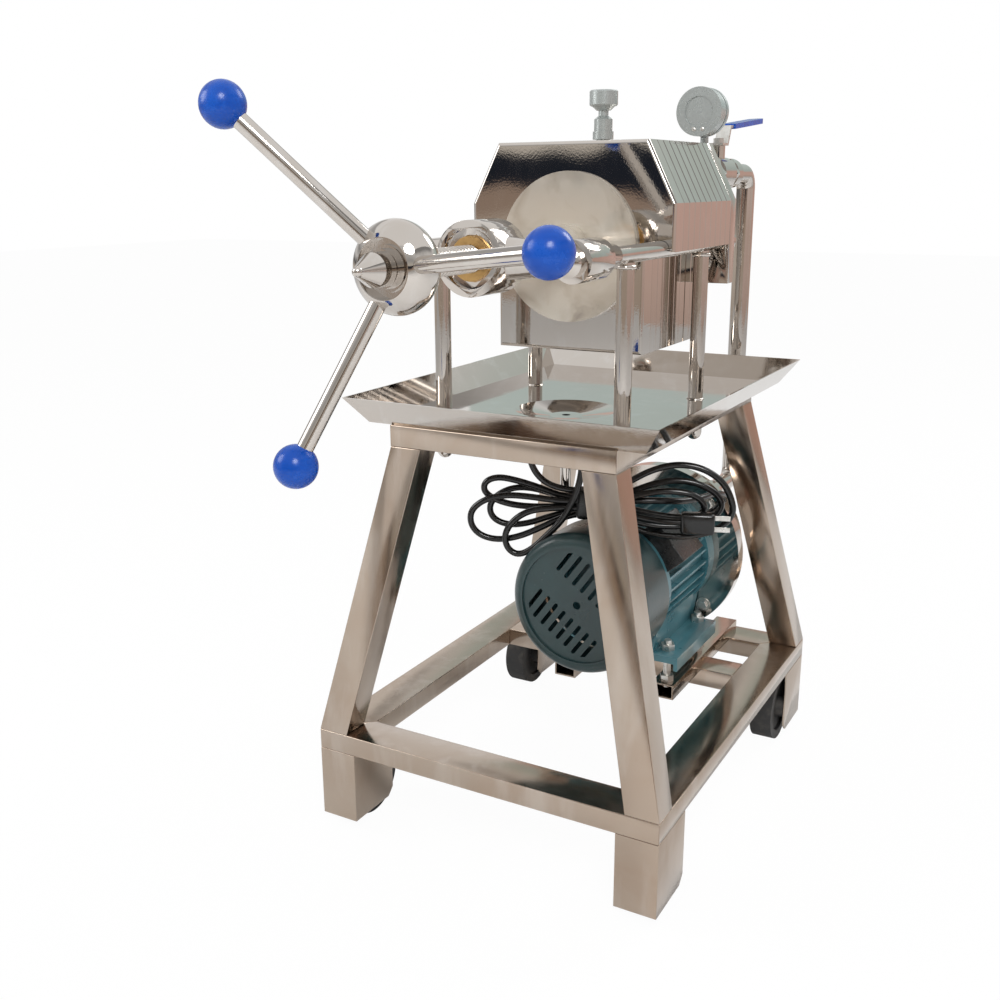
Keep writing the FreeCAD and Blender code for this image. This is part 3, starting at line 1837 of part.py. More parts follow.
RAIL_RUN = f"( {BACK} - rail_width / 2 - motor_rail_y )"
rail_tube = cut(
    "motor_rail_tube",
    block(
        "motor_rail_outside",
        f"motor_x + {FOOT_X} - motor_rail_width / 2",
        "motor_rail_y",
        RAIL_TOP,
        "motor_rail_width",
        RAIL_RUN,
        "motor_rail_height",
    ),
    group(
        "motor_rail_cuts",
        [
            fuse(
                "motor_rail_hollows",
                [
                    block(
                        "motor_rail_hollow",
                        f"motor_x + {FOOT_X} - motor_rail_width / 2 + tube_wall",
                        "motor_rail_y",
                        f"{RAIL_TOP} + tube_wall",
                        "motor_rail_width - 2 * tube_wall",
                        RAIL_RUN,
                        "motor_rail_height - 2 * tube_wall",
                    ),
                    *[
                        rod(
                            f"rail_hole_{i}",
                            "stud_dia + 2 * stud_gap",
                            "2 * tube_wall",
                            f"motor_x + {FOOT_X}",
                            f"foot_bolt_y + {i} * foot_pitch",
                            f"{MOTOR_RAIL_TOP} - 2 * tube_wall",
                            "z",
                        )
                        for i in range(2)
                    ],
                ],
            )
        ],
    ),
)
part(
    group("motor_rails", [rail_tube, mirrored("motor_rail_left", rail_tube, x="motor_x")]),
    "motor_rails",
)

stud = fuse(
    "stud",
    [
        rod(
            "stud_bar",
            "stud_dia",
            "stud_tail + tube_wall + motor_lift + foot_thick + stud_nut_height + stud_end",
            "0",
            "0",
            f"{MOTOR_RAIL_TOP} - tube_wall - stud_tail",
            "z",
        ),
        *[
            hexagon(f"stud_nut_{i}", "stud_nut", "stud_nut_height", "0", "0", z, "z")
            for i, z in enumerate(
                (MOTOR_RAIL_TOP, f"{FOOT_Z} - stud_nut_height", f"{FOOT_Z} + foot_thick")
            )
        ],
    ],
)
part(
    group(
        "motor_studs",
        [
            placed(
                f"stud_{side}_{i}",
                [stud],
                f"motor_x {sign} {FOOT_X}",
                f"foot_bolt_y + {i} * foot_pitch",
            )
            for side, sign in (("right", "+"), ("left", "-"))
            for i in range(2)
        ],
    ),
    "motor_studs",
)

# pump

port_bore = rod(
    "suction_bore",
    "suction_dia - 2 * suction_wall",
    "suction_length + pump_cover + pump_casing / 2",
    "motor_x",
    f"{PUMP_BACK} - pump_casing / 2",
    SHAFT_Z,
)
part(
    cut(
        "pump_casing",
        fuse(
            "pump_outside",
            [
                rod("pump_face", "pump_disc_dia", "pump_disc", "motor_x", PUMP_Y, SHAFT_Z),
                rod(
                    "pump_volute",
                    "pump_casing_dia",
                    "pump_casing",
                    "motor_x",
                    CASING_Y,
                    SHAFT_Z,
                ),
                rod("pump_lid", "pump_cover_dia", "pump_cover", "motor_x", PUMP_BACK, SHAFT_Z),
            ],
        ),
        group(
            "pump_bores",
            [
                port_bore,
                rod(
                    "outlet_bore",
                    "pipe_dia - 2 * pipe_wall",
                    "pump_casing / 2",
                    "eye_x",
                    f"{PUMP_BACK} - pump_casing / 2",
                    "pipe_foot_height",
                ),
            ],
        ),
    ),
    "pump_casing",
)
part(
    group(
        "pump_ports",
        [
            cut(
                "suction_port",
                fuse(
                    "suction_outside",
                    [
                        rod("suction", "suction_dia", "suction_length", "motor_x", PORT_Y, SHAFT_Z),
                        rod(
                            "ferrule",
                            "ferrule_dia",
                            "ferrule_thick",
                            "motor_x",
                            f"{PORT_Y} + suction_length - ferrule_thick",
                            SHAFT_Z,
                        ),
                    ],
                ),
                port_bore,
            ),
            cut(
                "outlet_collar",
                rod(
                    "collar_outside",
                    "outlet_collar_dia",
                    "outlet_collar",
                    "eye_x",
                    PUMP_BACK,
                    "pipe_foot_height",
                ),
                rod(
                    "collar_bore",
                    "pipe_dia",
                    "outlet_collar",
                    "eye_x",
                    PUMP_BACK,
                    "pipe_foot_height",
                ),
            ),
        ],
    ),
    "pump_ports",
)

# terminal box and power cord

part(by_the_box("terminal_box", box_block), "terminal_box")
gland_bar = rod(
    "gland_bar",
    "gland_dia",
    "gland_length",
    f"{BOX_SEAT} + gland_out",
    "box_y + box_length",
    "0",
)
gland_bore = rod(
    "gland_bore",
    "cord_dia",
    "gland_length",
    f"{BOX_SEAT} + gland_out",
    "box_y + box_length",
    "0",
)
part(by_the_box("cable_gland", cut("gland", gland_bar, gland_bore)), "cable_gland")

box_turn = math.radians(size("box_angle"))
gland_r = size("frame_dia") / 2 - size("box_sink") + size("gland_out")
gland_mouth = FreeCAD.Vector(
    size("motor_x") + gland_r * math.cos(box_turn),
    size("box_y") + size("box_length") + size("gland_length"),
    motor_z + gland_r * math.sin(box_turn),
)
points = [FreeCAD.Vector(*p) for p in CORD_POINTS]
points = [p + gland_mouth - points[0] for p in points]
runs = [points[i].distanceToPoint(points[i + 1]) for i in range(len(points) - 1)]
turns = [
    (points[i] - points[i - 1]).getAngle(points[i + 1] - points[i])
    for i in range(1, len(points) - 1)
]
cord_radii = [
    0.45 * min(before, after) / math.tan(turn / 2)
    for before, after, turn in zip(runs, runs[1:], turns)
]
part(pipe_run("power_cord", points, cord_radii, size("cord_dia")), "power_cord")

hank = pad(
    "hank",
    "XZ_Plane",
    [(str(along), str(rise)) for along, rise in HANK_OUTLINE],
    "hank_thick",
)
place(hank, y="0 - hank_thick / 2")
part(
    placed("cord_hank", [hank], "0", "hank_y", SHAFT_Z, "hank_turn", (0, 0, 1)),
    "cord_hank",
)
PLUG_BACK = "( 0 - hank_thick / 2 - seat_gap )"
pin = block(
    "pin",
    "plug_x + plug_length",
    f"{PLUG_BACK} - plug_height / 2 - pin_thick / 2",
    "plug_rise + pin_spread / 2 - pin_width / 2",
    "pin_length",
    "pin_thick",
    "pin_width",
)
pin_other = block(
    "pin_other",
    "plug_x + plug_length",
    f"{PLUG_BACK} - plug_height / 2 - pin_thick / 2",
    "plug_rise - pin_spread / 2 - pin_width / 2",
    "pin_length",
    "pin_thick",
    "pin_width",
)
plug_body = block(
    "plug_body",
    "plug_x",
    f"{PLUG_BACK} - plug_height",
    "plug_rise - plug_width / 2",
    "plug_length",
    "plug_height",
    "plug_width",
)
part(
    placed(
        "plug",
        [fuse("plug_solid", [plug_body, pin, pin_other])],
        "0",
        "hank_y",
        SHAFT_Z,
        "hank_turn",
        (0, 0, 1),
    ),
    "plug",
)

# checks and export

doc.recompute()
os.makedirs("parts", exist_ok=True)
broken = [o.Label for o in doc.Objects if "Invalid" in o.State or "Error" in o.State]
if broken:
    raise RuntimeError(f"features with errors: {broken}")
facets = 0
for thing in exported:
    shape = thing.Shape
    if shape.isNull() or not shape.isValid() or not shape.Solids:
        raise RuntimeError(f"{thing.Label} is not a valid solid")
    shape.exportStep(f"parts/{thing.Label}.step")
    count = len(shape.tessellate(0.2)[1])
    facets += count
    box = shape.BoundBox
    print(
        f"{thing.Label:18s} solids {len(shape.Solids):2d} facets {count:5d} "
        f"x {box.XMin:7.1f}..{box.XMax:7.1f} y {box.YMin:7.1f}..{box.YMax:7.1f} "
        f"z {box.ZMin:6.1f}..{box.ZMax:6.1f} {shape.Volume / 1000:8.1f} cm3"
    )
print(len(exported), "pieces,", facets, "facets")
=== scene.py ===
import json
import math

import bmesh
import bpy
from mathutils import Matrix, Vector


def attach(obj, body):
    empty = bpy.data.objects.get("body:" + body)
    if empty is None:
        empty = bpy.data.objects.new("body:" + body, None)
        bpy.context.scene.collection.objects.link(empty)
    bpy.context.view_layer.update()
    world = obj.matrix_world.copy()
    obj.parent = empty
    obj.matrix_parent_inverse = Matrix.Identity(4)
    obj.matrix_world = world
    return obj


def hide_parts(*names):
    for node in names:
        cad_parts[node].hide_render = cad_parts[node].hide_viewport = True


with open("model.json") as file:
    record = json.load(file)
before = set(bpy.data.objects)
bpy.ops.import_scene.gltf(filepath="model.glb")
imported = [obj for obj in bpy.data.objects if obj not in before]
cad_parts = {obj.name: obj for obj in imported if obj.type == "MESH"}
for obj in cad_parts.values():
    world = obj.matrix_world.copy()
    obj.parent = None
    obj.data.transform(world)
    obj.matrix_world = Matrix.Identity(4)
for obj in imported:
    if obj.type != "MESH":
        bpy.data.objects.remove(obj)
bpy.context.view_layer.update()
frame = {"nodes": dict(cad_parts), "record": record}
NODES = frame["nodes"]
BODIES = frame["record"]["behaviour"]["bodies"]


# ---------------------------------------------------------------- finishes

def grey(value):
    return (value, value, value, 1)


def colour(red, green, blue):
    return (red, green, blue, 1)


class Finish:
    """A finish built from nodes on the piece's own object coordinates."""

    def __init__(self, name, base, metallic=0.0, roughness=0.5):
        self.material = bpy.data.materials.new(name)
        self.material.use_nodes = True
        self.nodes = self.material.node_tree.nodes
        self.links = self.material.node_tree.links
        self.shader = self.nodes["Principled BSDF"]
        self.shader.inputs["Base Color"].default_value = base
        self.shader.inputs["Metallic"].default_value = metallic
        self.shader.inputs["Roughness"].default_value = roughness
        self.place = self.nodes.new("ShaderNodeTexCoord").outputs["Object"]
        self.bumps = []
        self.paint = None

    def stretched(self, scale, turn=(0, 0, 0)):
        mapping = self.nodes.new("ShaderNodeMapping")
        mapping.inputs["Scale"].default_value = scale
        mapping.inputs["Rotation"].default_value = turn
        self.links.new(self.place, mapping.inputs["Vector"])
        return mapping.outputs["Vector"]

    def noise(self, scale, detail=4.0, roughness=0.55, distortion=0.0, vector=None):
        node = self.nodes.new("ShaderNodeTexNoise")
        node.inputs["Scale"].default_value = scale
        node.inputs["Detail"].default_value = detail
        node.inputs["Roughness"].default_value = roughness
        node.inputs["Distortion"].default_value = distortion
        self.links.new(vector or self.place, node.inputs["Vector"])
        return node.outputs["Fac"]

    def spots(self, scale, vector=None):
        node = self.nodes.new("ShaderNodeTexVoronoi")
        node.inputs["Scale"].default_value = scale
        self.links.new(vector or self.place, node.inputs["Vector"])
        return node.outputs["Distance"]

    def wave(self, scale, distortion=2.0, direction="X", vector=None):
        node = self.nodes.new("ShaderNodeTexWave")
        node.bands_direction = direction
        node.inputs["Scale"].default_value = scale
        node.inputs["Distortion"].default_value = distortion
        self.links.new(vector or self.place, node.inputs["Vector"])
        return node.outputs["Fac"]

    def share(self, value, low, high, first=0.0, last=1.0):
        """Maps low..high of a pattern to first..last, held at the ends."""
        node = self.nodes.new("ShaderNodeMapRange")
        node.inputs["From Min"].default_value = low
        node.inputs["From Max"].default_value = high
        node.inputs["To Min"].default_value = first
        node.inputs["To Max"].default_value = last
        self.links.new(value, node.inputs["Value"])
        return node.outputs["Result"]

    def times(self, first, second, operation="MULTIPLY"):
        node = self.nodes.new("ShaderNodeMath")
        node.operation = operation
        for index, value in enumerate((first, second)):
            if isinstance(value, (int, float)):
                node.inputs[index].default_value = value
            else:
                self.links.new(value, node.inputs[index])
        return node.outputs["Value"]

    def tint(self, tone, amount):
        """Lays another colour over the paint so far, by a pattern."""
        node = self.nodes.new("ShaderNodeMix")
        node.data_type = "RGBA"
        if self.paint is None:
            node.inputs[6].default_value = self.shader.inputs["Base Color"].default_value
        else:
            self.links.new(self.paint, node.inputs[6])
        node.inputs[7].default_value = tone
        self.links.new(amount, node.inputs["Factor"])
        self.paint = node.outputs[2]
        self.links.new(self.paint, self.shader.inputs["Base Color"])

    def sheen_of(self, amount, low, high):
        self.links.new(self.share(amount, 0.25, 0.75, low, high), self.shader.inputs["Roughness"])

    def relief(self, height, strength, distance=0.001):
        node = self.nodes.new("ShaderNodeBump")
        node.inputs["Strength"].default_value = strength
        node.inputs["Distance"].default_value = distance
        self.links.new(height, node.inputs["Height"])
        if self.bumps:
            self.links.new(self.bumps[-1], node.inputs["Normal"])
        self.bumps.append(node.outputs["Normal"])
        self.links.new(self.bumps[-1], self.shader.inputs["Normal"])

    def height_above(self, axis="Z"):
        node = self.nodes.new("ShaderNodeSeparateXYZ")
        self.links.new(self.place, node.inputs["Vector"])
        return node.outputs[axis]


def polished_stainless(name, base=(0.56, 0.52, 0.48), low=0.03, high=0.10, tarnish=0.35):
    """Mirror-polished plate: a faint wave of the sheet, smears, warm tarnish; the base's grey is the steel's own
    tone, its beige warmth a painted reflection.
    """
    # warm base: painted reflection of beige surroundings over the steel's own grey
    finish = Finish(name, colour(*base), metallic=1.0)
    broad = finish.noise(5.5, 3.0, 0.5, 0.6)
    smear = finish.noise(38.0, 5.0, 0.65, 0.4, finish.stretched((1.0, 1.0, 0.35)))
    finish.tint(colour(0.47, 0.385, 0.32), finish.share(broad, 0.50, 0.78, 0.0, tarnish))
    finish.tint(colour(0.70, 0.69, 0.68), finish.share(smear, 0.52, 0.75, 0.0, 0.35))
    finish.sheen_of(smear, low, high)
    finish.relief(finish.noise(9.0, 2.0, 0.4), 0.07, 0.002)
    finish.relief(finish.noise(420.0, 2.0, 0.5, 0.0, finish.stretched((1.0, 0.12, 1.0))), 0.03, 0.0004)
    return finish


def rail_steel(name):
    """Box section polished by hand, with brown bloom, streaks and rust specks; the dark brown base is partly a
    painted reflection of brown surroundings over the steel's own grey.
    """
    # dark brown base: partly painted reflection
    finish = Finish(name, colour(0.44, 0.365, 0.30), metallic=1.0)
    bloom = finish.noise(6.5, 4.0, 0.6, 0.8)
    streak = finish.noise(26.0, 4.0, 0.6, 0.2, finish.stretched((1.0, 1.0, 0.18)))
    speck = finish.spots(95.0)
    finish.tint(colour(0.37, 0.27, 0.20), finish.share(bloom, 0.45, 0.72, 0.0, 0.6))
    finish.tint(colour(0.66, 0.60, 0.55), finish.share(streak, 0.50, 0.72, 0.0, 0.35))
    finish.tint(colour(0.23, 0.12, 0.07), finish.times(
        finish.share(speck, 0.02, 0.10, 0.75, 0.0), finish.share(bloom, 0.55, 0.70, 0.0, 1.0)))
    finish.sheen_of(streak, 0.10, 0.24)
    finish.relief(finish.noise(7.0, 2.0, 0.4), 0.12, 0.002)
    finish.relief(streak, 0.04, 0.0005)
    return finish


def press_face(name):
    """The disc that the screw pushes: polished, and paler than the plate behind it; the pale cream base is a
    painted reflection that makes the disc look brighter.
    """
    # pale cream, half-metallic base: painted reflection
    finish = Finish(name, colour(0.66, 0.61, 0.53), metallic=0.5)
    broad = finish.noise(14.0, 3.0, 0.55, 1.2)
    smear = finish.noise(45.0, 4.0, 0.6, 0.4)
    finish.tint(colour(0.50, 0.445, 0.37), finish.share(broad, 0.46, 0.66, 0.0, 0.8))
    finish.tint(colour(0.34, 0.29, 0.25), finish.times(
        finish.share(broad, 0.60, 0.72, 0.0, 0.7), finish.share(smear, 0.45, 0.6)))
    finish.sheen_of(smear, 0.05, 0.16)
    finish.relief(broad, 0.05, 0.001)
    return finish


def satin_steel(name):
    """Pressed gauge case, brushed to a soft pale sheen."""
    finish = Finish(name, colour(0.42, 0.45, 0.44), metallic=0.55)
    smear = finish.noise(70.0, 4.0, 0.6, 0.3)
    finish.tint(colour(0.33, 0.345, 0.34), finish.share(smear, 0.48, 0.72, 0.0, 0.5))
    finish.sheen_of(smear, 0.20, 0.36)
    finish.relief(smear, 0.05, 0.0004)
    return finish


def zinc_steel(name):
    finish = Finish(name, colour(0.66, 0.65, 0.62), metallic=1.0)
    bloom = finish.noise(90.0, 4.0)
    finish.tint(colour(0.40, 0.37, 0.33), finish.share(bloom, 0.5, 0.72, 0.0, 0.6))
    finish.sheen_of(bloom, 0.22, 0.42)
    finish.relief(bloom, 0.08, 0.0004)
    return finish


def bronze(name):
    finish = Finish(name, colour(0.66, 0.42, 0.17), metallic=1.0)
    bloom = finish.noise(60.0, 4.0)
    finish.tint(colour(0.30, 0.16, 0.06), finish.share(bloom, 0.45, 0.72, 0.0, 0.7))
    finish.sheen_of(bloom, 0.24, 0.42)
    finish.relief(finish.wave(260.0, 0.6, "Z"), 0.05, 0.0004)
    return finish


def blue_plastic(name):
    finish = Finish(name, colour(0.001, 0.058, 0.36), roughness=0.2)
    scuff = finish.noise(55.0, 5.0, 0.65)
    finish.tint(colour(0.004, 0.088, 0.46), finish.share(scuff, 0.45, 0.7, 0.0, 0.7))
    finish.sheen_of(scuff, 0.14, 0.34)
    finish.relief(scuff, 0.04, 0.0006)
    finish.shader.inputs["Specular IOR Level"].default_value = 0.32
    return finish


def teal_paint(name, base=(0.035, 0.135, 0.155), light=(0.075, 0.25, 0.29)):
    """Machine enamel on castings: orange peel, dust."""
    finish = Finish(name, colour(*base), roughness=0.34)
    patch = finish.noise(16.0, 4.0, 0.6)
    grain = finish.noise(240.0, 3.0, 0.6)
    finish.tint(colour(*light), finish.share(patch, 0.42, 0.72, 0.0, 0.75))
    finish.tint(colour(0.28, 0.30, 0.29), finish.times(
        finish.share(finish.spots(130.0), 0.0, 0.09, 0.5, 0.0), finish.share(patch, 0.5, 0.6)))
    finish.sheen_of(patch, 0.22, 0.40)
    finish.relief(grain, 0.16, 0.0008)
    finish.shader.inputs["Coat Weight"].default_value = 0.25
    finish.shader.inputs["Coat Roughness"].default_value = 0.2
    return finish


def black_plastic(name, base=0.012, low=0.20, high=0.42, grain=180.0):
    finish = Finish(name, grey(base), roughness=0.35)
    scuff = finish.noise(grain, 4.0, 0.6)
    finish.tint(grey(base * 3.5), finish.share(scuff, 0.5, 0.75, 0.0, 0.6))
    finish.sheen_of(scuff, low, high)
    finish.relief(scuff, 0.10, 0.0005)
    return finish


def wheel_rubber(name):
    finish = Finish(name, grey(0.022), roughness=0.7)
    dust = finish.noise(34.0, 5.0, 0.65)
    finish.tint(colour(0.13, 0.115, 0.10), finish.share(dust, 0.50, 0.78, 0.0, 0.6))
    finish.sheen_of(dust, 0.5, 0.8)
    finish.relief(finish.noise(160.0, 3.0), 0.2, 0.0008)
    return finish


def dial_paint(name):
    finish = Finish(name, colour(0.72, 0.72, 0.70), roughness=0.4)
    bloom = finish.noise(50.0, 3.0)
    finish.tint(colour(0.60, 0.59, 0.56), finish.share(bloom, 0.5, 0.75, 0.0, 0.5))
    finish.sheen_of(bloom, 0.3, 0.5)
    return finish


FINISHES = {
    "polished_stainless": polished_stainless("polished_stainless"),
    "rail_steel": rail_steel("rail_steel"),
    "zinc_steel": zinc_steel("zinc_steel"),
    "bronze": bronze("bronze"),
    "blue_plastic": blue_plastic("blue_plastic"),
    "teal_paint": teal_paint("teal_paint", (0.045, 0.145, 0.175), (0.085, 0.225, 0.26)),
    # a darker copy of the motor's teal paint: painted shade for the fan cover, whose face lies in shadow
    "teal_paint_in_painted_shade": teal_paint("teal_paint_in_painted_shade", (0.011, 0.031, 0.033), (0.018, 0.050, 0.053)),
    "gauge_steel": satin_steel("gauge_steel"),
    "press_face": press_face("press_face"),
    # warm beige base here too is partly a painted reflection
    "head_mirror": polished_stainless("head_mirror", (0.58, 0.54, 0.50), 0.015, 0.05, 0.2),
    "black_plastic": black_plastic("black_plastic"),
    "black_rubber": black_plastic("black_rubber", 0.004, 0.10, 0.24, 260.0),
    "wheel_rubber": wheel_rubber("wheel_rubber"),
    "dial_face": dial_paint("dial_face"),
}


STAND_RAILS = ("side_rails", "cross_rails", "top_side_rails", "top_cross_rails", "legs",
               "wheel_housings", "motor_rails")


OWN_FINISH = {
    # the fan cover takes the teal paint darkened as painted shade
    "fan_cover": "teal_paint_in_painted_shade", "gauge": "gauge_steel", "vent_body": "gauge_steel", "vent_knob": "gauge_steel",
    "pressure_disc": "press_face", "head_plate": "head_mirror",
}


def dress_nodes():
    """Gives each node the finish of the record's slot that names it."""
    by_node = {entry["node"]: entry["material_slot"] for entry in frame["record"]["subparts"]}
    for name, thing in NODES.items():
        slot = by_node.get(name)
        if name in STAND_RAILS:
            slot = "rail_steel"
        slot = OWN_FINISH.get(name, slot)
        finish = FINISHES.get(slot, FINISHES["polished_stainless"])
        thing.data.materials.clear()
        thing.data.materials.append(finish.material)


dress_nodes()


# ---------------------------------------------------------------- camera

def set_camera():
    lens = bpy.data.cameras.new("camera")
    lens.lens = 40.289
    lens.sensor_width = 36.0
    lens.shift_x = 0.01174
    lens.shift_y = 0.00033
    lens.clip_end = 60.0
    camera = bpy.data.objects.new("camera", lens)
    camera.location = (0.58452, -1.18590, 0.77367)
    camera.rotation_euler = [math.radians(angle) for angle in (74.23207, 0.43434, 29.82308)]
    bpy.context.scene.collection.objects.link(camera)
    bpy.context.scene.camera = camera


set_camera()
bpy.context.scene.view_settings.view_transform = "Standard"


# ---------------------------------------------------------------- room

def link(thing):
    bpy.context.scene.collection.objects.link(thing)
    return thing


def floor_and_sky():
    bpy.ops.mesh.primitive_plane_add(size=24.0, location=(0, 0, -0.0005))
    floor = bpy.context.object
    floor.name = "floor"
    material = bpy.data.materials.new("floor")
    material.use_nodes = True
    nodes, links = material.node_tree.nodes, material.node_tree.links
    shader = nodes["Principled BSDF"]
    shader.inputs["Base Color"].default_value = grey(0.9)
    shader.inputs["Roughness"].default_value = 0.9
    shader.inputs["Specular IOR Level"].default_value = 0.1
    rays = nodes.new("ShaderNodeLightPath")
    pale = nodes.new("ShaderNodeEmission")
    mix = nodes.new("ShaderNodeMixShader")
    lift = nodes.new("ShaderNodeMath")
    lift.operation = "MULTIPLY"
    lift.inputs[1].default_value = 0.965
    pale.inputs["Strength"].default_value = 1.0
    links.new(rays.outputs["Is Camera Ray"], lift.inputs[0])
    links.new(lift.outputs[0], mix.inputs["Fac"])
    links.new(shader.outputs["BSDF"], mix.inputs[1])
    links.new(pale.outputs["Emission"], mix.inputs[2])
    links.new(mix.outputs["Shader"], nodes["Material Output"].inputs["Surface"])
    floor.data.materials.append(material)
    world = bpy.data.worlds.new("studio")
    bpy.context.scene.world = world
    world.use_nodes = True
    nodes, links = world.node_tree.nodes, world.node_tree.links
    back = nodes["Background"]
    rays = nodes.new("ShaderNodeLightPath")
    both = nodes.new("ShaderNodeMath")
    both.operation = "MAXIMUM"
    links.new(rays.outputs["Is Camera Ray"], both.inputs[0])
    more = nodes.new("ShaderNodeMath")
    more.operation = "MAXIMUM"
    links.new(rays.outputs["Is Glossy Ray"], more.inputs[0])
    links.new(rays.outputs["Is Transmission Ray"], more.inputs[1])
    links.new(more.outputs[0], both.inputs[1])
    level = nodes.new("ShaderNodeMapRange")
    level.inputs["To Min"].default_value = 0.55
    level.inputs["To Max"].default_value = 1.0
    links.new(both.outputs[0], level.inputs["Value"])
    links.new(level.outputs["Result"], back.inputs["Strength"])
    back.inputs["Color"].default_value = grey(1.0)


floor_and_sky()


def lamp(name, place, aim, size, power, tone=(1, 1, 1)):
    data = bpy.data.lights.new(name, "AREA")
    data.shape = "DISK"
    data.size = size
    data.energy = power
    data.color = tone
    thing = link(bpy.data.objects.new(name, data))
    thing.location = place
    thing.rotation_euler = (Vector(aim) - Vector(place)).to_track_quat("-Z", "Y").to_euler()
    return thing


lamp("key", (1.6, -2.6, 2.8), (0, 0, 0.5), 1.4, 75)
lamp("fill", (-2.4, -1.4, 1.9), (0, 0, 0.5), 1.6, 30)
lamp("rim", (1.2, 2.4, 2.6), (0, 0, 0.5), 1.4, 30)


def card(name, width, height, place, aim, bands):
    """A far wall of the workshop that only the polished metal sees."""
    bpy.ops.mesh.primitive_plane_add(size=1.0)
    wall = bpy.context.object
    wall.name = name
    for corner in wall.data.vertices:
        corner.co.x *= width
        corner.co.y *= height
    turn = (Vector(aim) - Vector(place)).to_track_quat("Z", "Y").to_matrix().to_4x4()
    wall.data.transform(Matrix.Translation(place) @ turn)
    material = bpy.data.materials.new(name)
    material.use_nodes = True
    nodes, links = material.node_tree.nodes, material.node_tree.links
    nodes.clear()
    output = nodes.new("ShaderNodeOutputMaterial")
    glow = nodes.new("ShaderNodeEmission")
    spot = nodes.new("ShaderNodeTexCoord")
    parts = nodes.new("ShaderNodeSeparateXYZ")
    ramp = nodes.new("ShaderNodeValToRGB")
    level = nodes.new("ShaderNodeMapRange")
    blur = nodes.new("ShaderNodeTexNoise")
    blur.inputs["Scale"].default_value = 1.3
    blur.inputs["Detail"].default_value = 1.0
    shift = nodes.new("ShaderNodeMath")
    shift.operation = "MULTIPLY_ADD"
    shift.inputs[1].default_value = 0.5
    links.new(spot.outputs["Object"], parts.inputs[0])
    links.new(spot.outputs["Object"], blur.inputs["Vector"])
    links.new(blur.outputs["Fac"], shift.inputs[0])
    links.new(parts.outputs["Z"], shift.inputs[2])
    links.new(shift.outputs[0], level.inputs["Value"])
    level.inputs["From Min"].default_value = 0.0
    level.inputs["From Max"].default_value = 4.0
    links.new(level.outputs["Result"], ramp.inputs["Fac"])
    links.new(ramp.outputs["Color"], glow.inputs["Color"])
    links.new(glow.outputs["Emission"], output.inputs["Surface"])
    steps = ramp.color_ramp.elements
    while len(steps) < len(bands):
        steps.new(0.5)
    for step, (at, tone) in zip(steps, bands):
        step.position = at
        step.color = tone
    wall.data.materials.append(material)
    wall.visible_camera = False
    wall.visible_diffuse = False
    wall.visible_shadow = False
    wall.visible_transmission = False


NAVY = colour(0.018, 0.022, 0.032)
WARM_GREY = colour(0.42, 0.34, 0.28)
BROWN = colour(0.36, 0.27, 0.215)
CREAM = colour(0.66, 0.62, 0.56)
card("front_wall", 9, 4, (0.8, -4.2, 2.0), (0, 0, 1.2), (
    (0.00, WARM_GREY), (0.185, colour(0.50, 0.42, 0.35)), (0.205, BROWN), (0.235, BROWN),
    (0.247, NAVY), (0.300, NAVY), (0.315, CREAM), (0.50, grey(0.45)), (0.85, grey(0.75))))
card("right_wall", 7, 4, (4.0, -0.4, 2.0), (0, 0, 1.2), (
    (0.00, colour(0.40, 0.31, 0.26)), (0.14, colour(0.60, 0.46, 0.41)), (0.28, colour(0.72, 0.62, 0.57)),
    (0.36, colour(0.25, 0.19, 0.17)), (0.5, colour(0.65, 0.60, 0.58)), (0.7, grey(0.85)), (0.9, grey(0.3))))
card("left_wall", 7, 4, (-4.2, 0.2, 2.0), (0, 0, 1.2), (
    (0.00, colour(0.36, 0.30, 0.25)), (0.16, colour(0.66, 0.60, 0.54)), (0.25, grey(0.12)),
    (0.36, grey(0.80)), (0.5, grey(0.35)), (0.66, grey(0.9)), (0.9, grey(0.5))))
card("rear_wall", 9, 4, (1.0, 4.4, 2.0), (0, 0, 1.2), (
    (0.00, colour(0.44, 0.33, 0.28)), (0.13, colour(0.60, 0.45, 0.39)), (0.22, colour(0.68, 0.47, 0.41)),
    (0.34, colour(0.66, 0.45, 0.39)), (0.42, colour(0.50, 0.58, 0.56)), (0.62, colour(0.58, 0.66, 0.63)),
    (0.80, grey(0.85)), (0.9, grey(0.5))))


# ---------------------------------------------------------------- mesh tools

def new_mesh(name, shape, finish, smooth=True):
    mesh = bpy.data.meshes.new(name)
    shape.to_mesh(mesh)
    shape.free()
    mesh.materials.append(FINISHES[finish].material)
    for face in mesh.polygons:
        face.use_smooth = smooth
    return link(bpy.data.objects.new(name, mesh))


def turned(name, finish, profile, centre, along="z", sides=48):
    """A lathe-turned piece: profile of (distance along, radius) pairs from end to end."""
    shape = bmesh.new()
    rings = []
    for at, radius in profile:
        ring = []
        for i in range(sides):
            turn = 2 * math.pi * i / sides
            across, up = radius * math.cos(turn), radius * math.sin(turn)
            spot = {"z": (across, up, at), "y": (up, at, across), "x": (at, across, up)}[along]
            ring.append(shape.verts.new(Vector(spot) + Vector(centre)))
        rings.append(ring)
    for first, second in zip(rings, rings[1:]):
        for i in range(sides):
            j = (i + 1) % sides
            shape.faces.new((first[i], first[j], second[j], second[i]))
    shape.faces.new(rings[0][::-1])
    shape.faces.new(rings[-1])
    bmesh.ops.recalc_face_normals(shape, faces=shape.faces)
    return new_mesh(name, shape, finish)


def finished(piece, body, slot, *nodes):
    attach(piece, body)
    if nodes:
        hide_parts(*nodes)
    return piece


def span(node):
    """Lowest and highest corner of a CAD piece."""
    corners = [NODES[node].matrix_world @ Vector(corner) for corner in NODES[node].bound_box]
    return [Vector([pick(corner[i] for corner in corners) for i in range(3)]) for pick in (min, max)]


def baked(thing):
    """The object with its modifiers worked into a plain mesh."""
    bpy.context.view_layer.update()
    solid = bpy.data.meshes.new_from_object(thing.evaluated_get(bpy.context.evaluated_depsgraph_get()))
    thing.modifiers.clear()
    thing.data = solid
    return thing


